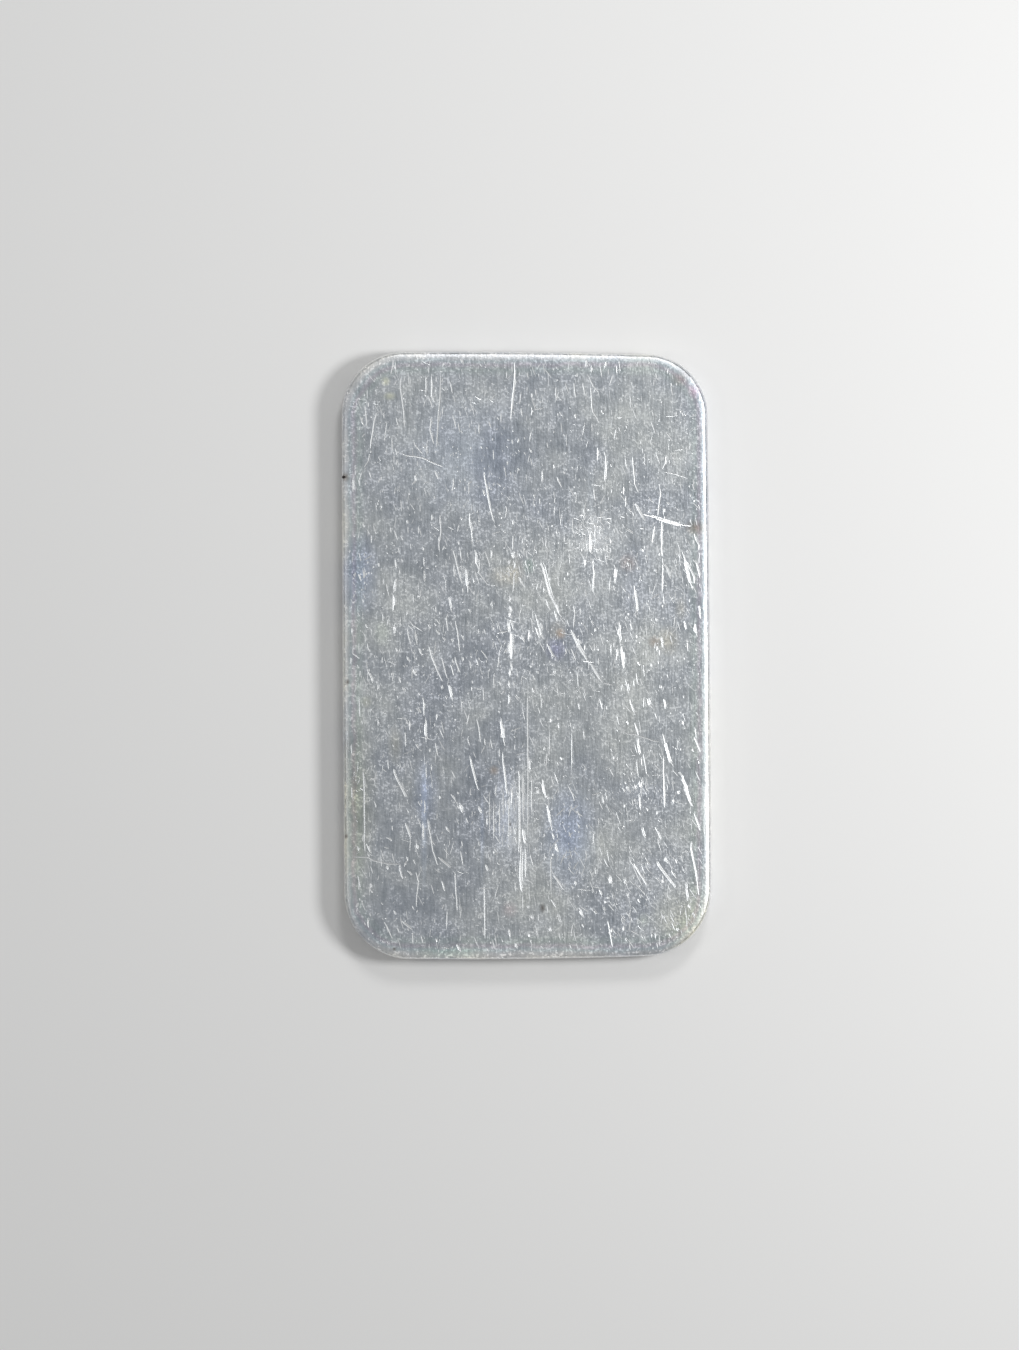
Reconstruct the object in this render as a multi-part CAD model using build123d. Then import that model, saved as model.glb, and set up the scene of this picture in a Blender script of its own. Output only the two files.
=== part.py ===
from build123d import *
import os

# A worn one-ounce silver bar, made in one piece: a flat slab with big rounded corners and barrel
# sides, lying on its foot. Millimetres, +Z up. Width runs along X, length along Y, thickness along Z.
# The origin is on the underside, in the middle of the bar's outline.

# The belt is the bar's widest outline, about half-way up its sides. These are its width and length
# at mid-side, and how far each side leans over its whole run, before the corners are rounded.
width = 29.69
length = 48.78
left_lean = 0.24
right_lean = 0.37
head_lean = 0.28
tail_lean = 0.31

# How far each side bulges outwards between its two corners
left_bow = 0.06
right_bow = 0.08
head_bow = 0.20
tail_bow = 0.27

# Corner radii of the belt
head_left_radius = 5.0
head_right_radius = 4.8
tail_right_radius = 5.2
tail_left_radius = 5.2

# Barrel sides: from the belt they curve in towards the face above and the foot below
belt_to_face = 1.07
belt_to_foot = 1.00
face_inset = 0.22
foot_inset = 0.26
face_edge_round = 0.20
foot_edge_round = 0.30

# A nick knocked into the left side, deepest at the face and running out above the belt
nick_from_head = 10.1
nick_depth = 0.40
nick_width = 0.70
nick_height = 0.90

# How far the nick's wedge reaches past the surfaces that it cuts
wedge_reach = 0.50


def belt_sides():
    """The four bowed sides of the belt, anticlockwise from the tail, meeting in sharp corners."""
    half_width = width / 2
    half_length = length / 2
    tail_left = Vector(-half_width + left_lean / 2, -half_length - tail_lean / 2)
    tail_right = Vector(half_width + right_lean / 2, -half_length + tail_lean / 2)
    head_right = Vector(half_width - right_lean / 2, half_length - head_lean / 2)
    head_left = Vector(-half_width - left_lean / 2, half_length + head_lean / 2)
    return [
        SagittaArc(tail_left, tail_right, -tail_bow),
        SagittaArc(tail_right, head_right, -right_bow),
        SagittaArc(head_right, head_left, -head_bow),
        SagittaArc(head_left, tail_left, -left_bow),
    ]


def belt_outline(sides):
    """The belt as a flat face, with each corner rounded to its own radius."""
    radii = [tail_left_radius, tail_right_radius, head_right_radius, head_left_radius]
    outline = make_face(sides)
    for side, radius in zip(sides, radii):
        corner = outline.vertices().sort_by_distance(side @ 0)[0]
        outline = fillet(corner, radius)
    return outline


def bar_blank(belt):
    """The bar without its nick, its belt at height zero: one smooth loft from foot to face."""
    foot = Pos(0, 0, -belt_to_foot) * offset(belt, amount=-foot_inset)
    face = Pos(0, 0, belt_to_face) * offset(belt, amount=-face_inset)
    blank = loft([foot, belt, face])
    blank = fillet(blank.faces().sort_by(Axis.Z)[-1].edges(), face_edge_round)
    return fillet(blank.faces().sort_by(Axis.Z)[0].edges(), foot_edge_round)


def nick_wedge(left_side):
    """A V-shaped wedge whose keel slopes from inside the face's edge down to the bar's side."""
    mouth = left_side @ (nick_from_head / left_side.length)
    keel_top = mouth + Vector(nick_depth, 0, belt_to_face)
    keel_foot = mouth + Vector(0, 0, belt_to_face - nick_height)
    keel = keel_top - keel_foot
    widening = (nick_depth + wedge_reach) / nick_depth
    half_mouth = nick_width / 2 * widening
    section = Plane(origin=keel_foot, x_dir=(0, 1, 0), z_dir=keel)
    v_shape = Polyline(
        (0, 0),
        (half_mouth, nick_depth * widening),
        (-half_mouth, nick_depth * widening),
        close=True,
    )
    wedge = extrude(section * make_face(v_shape), amount=keel.length + wedge_reach)
    return wedge


def silver_bar():
    """The finished bar, stood on its foot and centred on the origin."""
    sides = belt_sides()
    bar = bar_blank(belt_outline(sides)) - nick_wedge(sides[3])
    middle = bar.bounding_box().center()
    return Pos(-middle.X, -middle.Y, belt_to_foot) * bar


os.makedirs("parts", exist_ok=True)
bar = silver_bar()
export_step(bar, "parts/ingot.step")
extent = bar.bounding_box().size
print(f"ingot: {extent.X:.2f} x {extent.Y:.2f} x {extent.Z:.2f} mm, {bar.volume:.0f} cubic mm")
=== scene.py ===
import math
import random

import bpy
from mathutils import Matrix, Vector


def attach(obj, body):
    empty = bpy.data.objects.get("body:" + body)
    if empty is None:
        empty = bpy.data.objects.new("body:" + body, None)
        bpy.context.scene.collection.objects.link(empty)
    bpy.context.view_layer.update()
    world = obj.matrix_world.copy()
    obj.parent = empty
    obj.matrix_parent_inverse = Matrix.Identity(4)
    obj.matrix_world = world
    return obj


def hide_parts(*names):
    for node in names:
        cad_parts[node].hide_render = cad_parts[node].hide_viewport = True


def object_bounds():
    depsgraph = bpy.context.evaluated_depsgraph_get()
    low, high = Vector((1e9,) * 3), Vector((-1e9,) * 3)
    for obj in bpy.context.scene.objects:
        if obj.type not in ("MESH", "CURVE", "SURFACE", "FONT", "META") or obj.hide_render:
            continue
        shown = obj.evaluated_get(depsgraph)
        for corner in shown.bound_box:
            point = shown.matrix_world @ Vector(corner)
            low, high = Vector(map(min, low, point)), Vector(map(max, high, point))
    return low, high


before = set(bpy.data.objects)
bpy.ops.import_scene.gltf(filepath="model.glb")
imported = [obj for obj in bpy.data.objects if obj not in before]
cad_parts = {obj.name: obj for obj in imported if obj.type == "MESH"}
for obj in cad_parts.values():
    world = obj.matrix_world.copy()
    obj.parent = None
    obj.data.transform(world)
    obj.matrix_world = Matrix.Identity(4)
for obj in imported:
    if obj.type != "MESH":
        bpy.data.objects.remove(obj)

MM = 0.001
cad_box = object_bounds()

# The bar, as the part's source has it
WIDTH = 29.69 * MM
LENGTH = 48.78 * MM
LEFT_LEAN = 0.24 * MM
RIGHT_LEAN = 0.37 * MM
HEAD_LEAN = 0.28 * MM
TAIL_LEAN = 0.31 * MM
LEFT_BOW = 0.06 * MM
RIGHT_BOW = 0.08 * MM
HEAD_BOW = 0.20 * MM
TAIL_BOW = 0.27 * MM
HEAD_LEFT_RADIUS = 5.0 * MM
HEAD_RIGHT_RADIUS = 4.8 * MM
TAIL_RIGHT_RADIUS = 5.2 * MM
TAIL_LEFT_RADIUS = 5.2 * MM
BELT_TO_FACE = 1.07 * MM
BELT_TO_FOOT = 1.00 * MM
FACE_INSET = 0.22 * MM
FOOT_INSET = 0.26 * MM
FACE_EDGE_ROUND = 0.20 * MM
FOOT_EDGE_ROUND = 0.30 * MM
THICKNESS = BELT_TO_FACE + BELT_TO_FOOT

# How finely the blank is divided, and the angle up to which its surface is shaded smooth
CORNER_STEPS = 22
SIDE_CUTS = 24
CHECKER = 1.0 * MM
SMOOTH_ANGLE = math.radians(15)

# Points of the blank that are nearer to each other than this become one
BLANK_WELD = MM / 1000

# Wear has rolled the rim of the face down a little
ROLLED_WIDTH = 0.60 * MM
ROLLED_DROP = 0.055 * MM

# The nick in the left side, as the part's source has it
NICK_Y = 14.45 * MM
NICK_DEPTH = 0.40 * MM
NICK_WIDTH = 0.70 * MM
NICK_HEIGHT = 0.90 * MM

# Relief that is too fine to model, and the turn of its hairlines
FINE_RELIEF = 0.015 * MM
HAIR_TURN = math.radians(5)


def select_only(thing):
    """Makes one object the only selected and the active one."""
    bpy.ops.object.select_all(action="DESELECT")
    thing.select_set(True)
    bpy.context.view_layer.objects.active = thing


def edit(thing):
    """Opens an object in edit mode with nothing selected."""
    select_only(thing)
    bpy.ops.object.mode_set(mode="EDIT")
    bpy.ops.mesh.select_all(action="DESELECT")


# The blank


def belt_outline(name):
    """The bar's widest outline as one flat face at belt height."""
    bpy.ops.mesh.primitive_plane_add(size=1, location=(0, 0, BELT_TO_FOOT))
    outline = bpy.context.active_object
    outline.name = name
    outline.scale = (WIDTH, LENGTH, 1)
    bpy.ops.object.transform_apply(location=True, rotation=True, scale=True)
    edit(outline)
    bpy.ops.mesh.select_mode(type="VERT")
    bpy.ops.object.mode_set(mode="OBJECT")
    corners = [
        (-1, -1, LEFT_LEAN / 2, -TAIL_LEAN / 2, TAIL_LEFT_RADIUS),
        (1, -1, RIGHT_LEAN / 2, TAIL_LEAN / 2, TAIL_RIGHT_RADIUS),
        (1, 1, -RIGHT_LEAN / 2, -HEAD_LEAN / 2, HEAD_RIGHT_RADIUS),
        (-1, 1, -LEFT_LEAN / 2, HEAD_LEAN / 2, HEAD_LEFT_RADIUS),
    ]
    for side_x, side_y, move_x, move_y, radius in corners:
        corner = Vector((side_x * WIDTH / 2, side_y * LENGTH / 2, BELT_TO_FOOT))
        for vertex in outline.data.vertices:
            vertex.select = (vertex.co - corner).length < MM
            if vertex.select:
                vertex.co += Vector((move_x, move_y, 0))
        bpy.ops.object.mode_set(mode="EDIT")
        bpy.ops.mesh.bevel(offset=radius, segments=CORNER_STEPS, affect="VERTICES")
        bpy.ops.mesh.select_all(action="DESELECT")
        bpy.ops.object.mode_set(mode="OBJECT")
    edit(outline)
    bpy.ops.mesh.select_all(action="SELECT")
    bpy.ops.mesh.delete(type="ONLY_FACE")
    bpy.ops.mesh.select_mode(type="EDGE")
    bpy.ops.object.mode_set(mode="OBJECT")
    mesh = outline.data
    for edge in mesh.edges:
        start, end = (mesh.vertices[i].co for i in edge.vertices)
        edge.select = (start - end).length > WIDTH / 3
    bpy.ops.object.mode_set(mode="EDIT")
    bpy.ops.mesh.subdivide(number_cuts=SIDE_CUTS)
    bpy.ops.mesh.select_mode(type="VERT")
    bpy.ops.mesh.select_all(action="SELECT")
    bpy.ops.mesh.edge_face_add()
    bpy.ops.object.mode_set(mode="OBJECT")
    for vertex in mesh.vertices:
        across = 2 * vertex.co.x / WIDTH
        along = 2 * vertex.co.y / LENGTH
        bow_x = RIGHT_BOW if across > 0 else LEFT_BOW
        bow_y = HEAD_BOW if along > 0 else TAIL_BOW
        vertex.co.x += across * bow_x * max(0, 1 - along ** 2)
        vertex.co.y += along * bow_y * max(0, 1 - across ** 2)
    return outline


def side_profile(height, inset, edge_round, rolled_width, rolled_drop):
    """(inset, height) steps up one half of the bar: barrel side, rounded edge, rolled rim."""
    lean = math.atan(2 * inset / height)
    round_foot = height - edge_round * (1 - math.sin(lean))
    steps = []
    side_steps = 7
    for k in range(side_steps + 1):
        rise = round_foot * k / side_steps
        steps.append((inset * (rise / height) ** 2, rise))
    centre = steps[-1][0] + edge_round * math.cos(lean)
    rim_slope = math.atan(3 * rolled_drop / rolled_width) if rolled_width else 0
    round_steps = 12
    for k in range(1, round_steps + 1):
        turn = lean + (math.pi / 2 - rim_slope - lean) * k / round_steps
        out = centre - edge_round * math.cos(turn)
        steps.append((out, height - rolled_drop - edge_round * (1 - math.sin(turn))))
    if rolled_width:
        start, low = steps[-1]
        rim_steps = 7
        for k in range(1, rim_steps + 1):
            share = k / rim_steps
            climb = (height - low) * (1 - (1 - share) ** 3)
            steps.append((start + rolled_width * share, low + climb))
    return steps


def raise_half(outline, steps):
    """Insets an outline's face step by step along its normal, which makes one half of the bar."""
    edit(outline)
    bpy.ops.mesh.select_all(action="SELECT")
    for (inset, rise), (next_inset, next_rise) in zip(steps, steps[1:]):
        bpy.ops.mesh.inset(thickness=next_inset - inset, depth=next_rise - rise)
    bpy.ops.object.mode_set(mode="OBJECT")


def fit_to_frame(bar):
    """Sets the bar exactly over the box of the part in the frame."""
    low, high = cad_box
    xs = [vertex.co.x for vertex in bar.data.vertices]
    ys = [vertex.co.y for vertex in bar.data.vertices]
    fit_x = (high[0] - low[0]) / (max(xs) - min(xs))
    fit_y = (high[1] - low[1]) / (max(ys) - min(ys))
    bar.scale = (fit_x, fit_y, 1)
    bar.location = (low[0] - min(xs) * fit_x, low[1] - min(ys) * fit_y, 0)
    select_only(bar)
    bpy.ops.object.transform_apply(location=True, rotation=True, scale=True)


def bar_blank():
    """The closed bar before any wear: an upper and a lower half joined at the belt."""
    upper = belt_outline("silver_bar")
    lower = belt_outline("lower_half")
    edit(lower)
    bpy.ops.mesh.select_all(action="SELECT")
    bpy.ops.mesh.flip_normals()
    bpy.ops.object.mode_set(mode="OBJECT")
    face_steps = side_profile(BELT_TO_FACE, FACE_INSET, FACE_EDGE_ROUND, ROLLED_WIDTH, ROLLED_DROP)
    foot_steps = side_profile(BELT_TO_FOOT, FOOT_INSET, FOOT_EDGE_ROUND, 0, 0)
    raise_half(upper, face_steps)
    raise_half(lower, foot_steps)
    select_only(upper)
    lower.select_set(True)
    bpy.ops.object.join()
    edit(upper)
    bpy.ops.mesh.select_all(action="SELECT")
    bpy.ops.mesh.remove_doubles(threshold=BLANK_WELD)
    bpy.ops.object.mode_set(mode="OBJECT")
    fit_to_frame(upper)
    bpy.ops.object.shade_smooth_by_angle(angle=SMOOTH_ANGLE)
    for face in upper.data.polygons:
        if len(face.vertices) > 4:
            face.use_smooth = False
    checker(upper)
    return upper


def checker(bar):
    """Divides the flat face and foot into small squares, so that no cut face gets many holes."""
    edit(bar)
    bpy.ops.mesh.select_mode(type="FACE")
    for axis, extent in ((Vector((1, 0, 0)), WIDTH), (Vector((0, 1, 0)), LENGTH)):
        count = int(extent / CHECKER)
        for k in range(1, count):
            bpy.ops.object.mode_set(mode="OBJECT")
            for face in bar.data.polygons:
                face.select = not face.use_smooth
            bpy.ops.object.mode_set(mode="EDIT")
            place = axis * (k * CHECKER - extent / 2)
            bpy.ops.mesh.bisect(plane_co=place, plane_no=axis)
    bpy.ops.mesh.select_mode(type="VERT")
    bpy.ops.object.mode_set(mode="OBJECT")


# Scratches and knocks

# Long or wide scratches, read off: half width, then points from head to tail, in millimetres
HEAD_SCRATCHES = [
    (0.07, (-10.76, 24.1), (-10.8, 23.5), (-11.0, 22.7)),
    (0.05, (-10.8, 23.6), (-10.6, 23.2)),
    (0.07, (-10.2, 22.45), (-10.2, 21.7), (-10.1, 20.9), (-9.95, 19.9), (-9.85, 18.5)),
    (0.045, (-10.5, 22.3), (-10.7, 21.9)),
    (0.11, (-8.1, 22.7), (-8.1, 21.2)),
    (0.11, (-7.65, 22.8), (-7.65, 21.0), (-7.4, 20.5)),
    (0.06, (-7.3, 22.6), (-7.3, 22.1)),
    (0.045, (-7.9, 23.4), (-7.9, 22.8)),
    (0.09, (-6.7, 23.7), (-6.75, 23.35)),
    (0.09, (-5.3, 24.1), (-5.2, 23.65)),
    (0.07, (-6.95, 22.9), (-7.0, 20.85), (-7.15, 19.4), (-7.2, 18.3), (-7.3, 16.8)),
    (0.05, (-7.7, 19.3), (-7.76, 18.6), (-7.8, 18.25), (-7.7, 17.85), (-7.5, 17.1)),
    (0.06, (-6.9, 21.7), (-6.6, 21.45)),
    (0.045, (-6.8, 20.15), (-6.8, 19.45)),
    (0.045, (-8.2, 20.7), (-8.35, 20.1)),
    (0.045, (-6.0, 19.5), (-5.8, 18.9), (-5.75, 18.4)),
    (0.07, (-13.1, 20.3), (-13.0, 19.45), (-12.93, 18.4)),
    (0.07, (-12.1, 19.7), (-12.35, 18.9), (-12.45, 18.1), (-12.6, 17.3), (-12.65, 16.7)),
    (0.05, (-12.7, 16.3), (-12.8, 15.75), (-13.15, 15.2)),
    (0.05, (-12.8, 20.5), (-12.8, 20.1)),
    (0.045, (-11.3, 18.9), (-11.4, 18.1), (-11.5, 17.3)),
    (0.05, (-10.55, 19.3), (-10.4, 18.6)),
    (0.045, (-10.9, 17.7), (-10.85, 16.5)),
    (0.045, (-10.65, 16.8), (-10.45, 16.1)),
    (0.08, (-10.45, 15.9), (-10.5, 15.4)),
    (0.045, (-9.9, 16.2), (-9.4, 16.15), (-8.4, 16.0), (-7.6, 15.6), (-6.7, 15.25)),
    (0.07, (-3.75, 23.6), (-3.6, 23.4)),
    (
        0.08,
        (-0.95, 23.8), (-0.92, 22.9), (-1.0, 21.7), (-1.1, 20.9), (-1.17, 20.15), (-1.25, 19.0),
    ),
    (0.07, (-1.17, 17.5), (-1.1, 17.1)),
    (0.09, (-0.85, 22.4), (-0.85, 21.9)),
    (0.045, (-1.17, 23.5), (-1.15, 22.9)),
    (0.045, (-1.6, 23.0), (-1.6, 22.4)),
    (0.045, (-2.85, 20.7), (-2.55, 21.1)),
    (0.05, (-4.4, 20.0), (-4.6, 19.75)),
    (0.05, (-3.85, 18.8), (-3.83, 17.9)),
    (0.05, (-2.07, 19.7), (-2.07, 18.8)),
    (0.045, (-0.4, 21.4), (-0.55, 20.3)),
    (0.09, (0.45, 21.25), (0.45, 20.85)),
    (0.08, (0.45, 20.1), (0.5, 19.8), (0.42, 19.4)),
    (0.045, (0.55, 19.9), (1.4, 20.05)),
    (0.06, (3.85, 22.1), (3.9, 21.4), (4.0, 20.85)),
    (0.1, (4.85, 24.15), (4.87, 23.2)),
    (0.045, (2.4, 21.8), (2.4, 20.6)),
    (0.09, (-0.6, 17.6), (-0.68, 17.2)),
    (0.05, (-2.7, 16.7), (-2.65, 15.8)),
    (0.09, (0.28, 16.8), (0.42, 16.4)),
    (0.06, (0.26, 16.3), (0.1, 15.6)),
    (0.07, (0.4, 18.2), (0.25, 17.3)),
    (0.08, (2.25, 15.5), (2.25, 15.1)),
    (0.1, (5.3, 23.5), (5.3, 22.85)),
    (0.07, (5.65, 24.2), (5.7, 23.85)),
    (0.06, (6.0, 23.4), (6.1, 22.5)),
    (0.1, (6.5, 23.9), (6.37, 23.2)),
    (0.07, (7.5, 24.0), (7.57, 23.1)),
    (0.06, (7.3, 23.5), (7.33, 22.7)),
    (0.045, (7.05, 22.8), (6.7, 21.8)),
    (0.045, (5.05, 22.55), (5.4, 21.8), (5.85, 21.3)),
    (
        0.05,
        (5.2, 21.8), (5.27, 20.9), (5.3, 20.15), (5.4, 19.7), (5.7, 19.25), (5.9, 18.8),
    ),
    (0.05, (5.8, 18.1), (5.8, 17.8)),
    (0.1, (5.8, 16.85), (5.83, 16.4), (5.8, 15.75)),
    (0.12, (6.35, 16.5), (6.5, 16.0), (6.45, 15.1), (6.4, 14.35), (6.45, 14.0)),
    (0.06, (8.0, 16.0), (8.1, 15.4), (8.2, 15.1)),
    (
        0.06,
        (8.6, 16.1), (8.65, 15.4), (8.75, 14.4), (8.77, 13.9), (8.9, 13.6), (9.1, 13.15),
    ),
    (0.1, (11.35, 16.2), (11.3, 15.55), (11.05, 15.1)),
    (0.05, (7.45, 18.5), (7.6, 18.1)),
    (0.07, (10.1, 18.9), (10.3, 18.4), (10.45, 17.9)),
    (0.06, (9.25, 17.4), (9.3, 17.1)),
    (0.045, (9.35, 16.8), (9.45, 16.3)),
    (0.05, (11.5, 23.3), (11.4, 22.8)),
    (0.05, (10.8, 19.2), (10.7, 18.9)),
]

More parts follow.
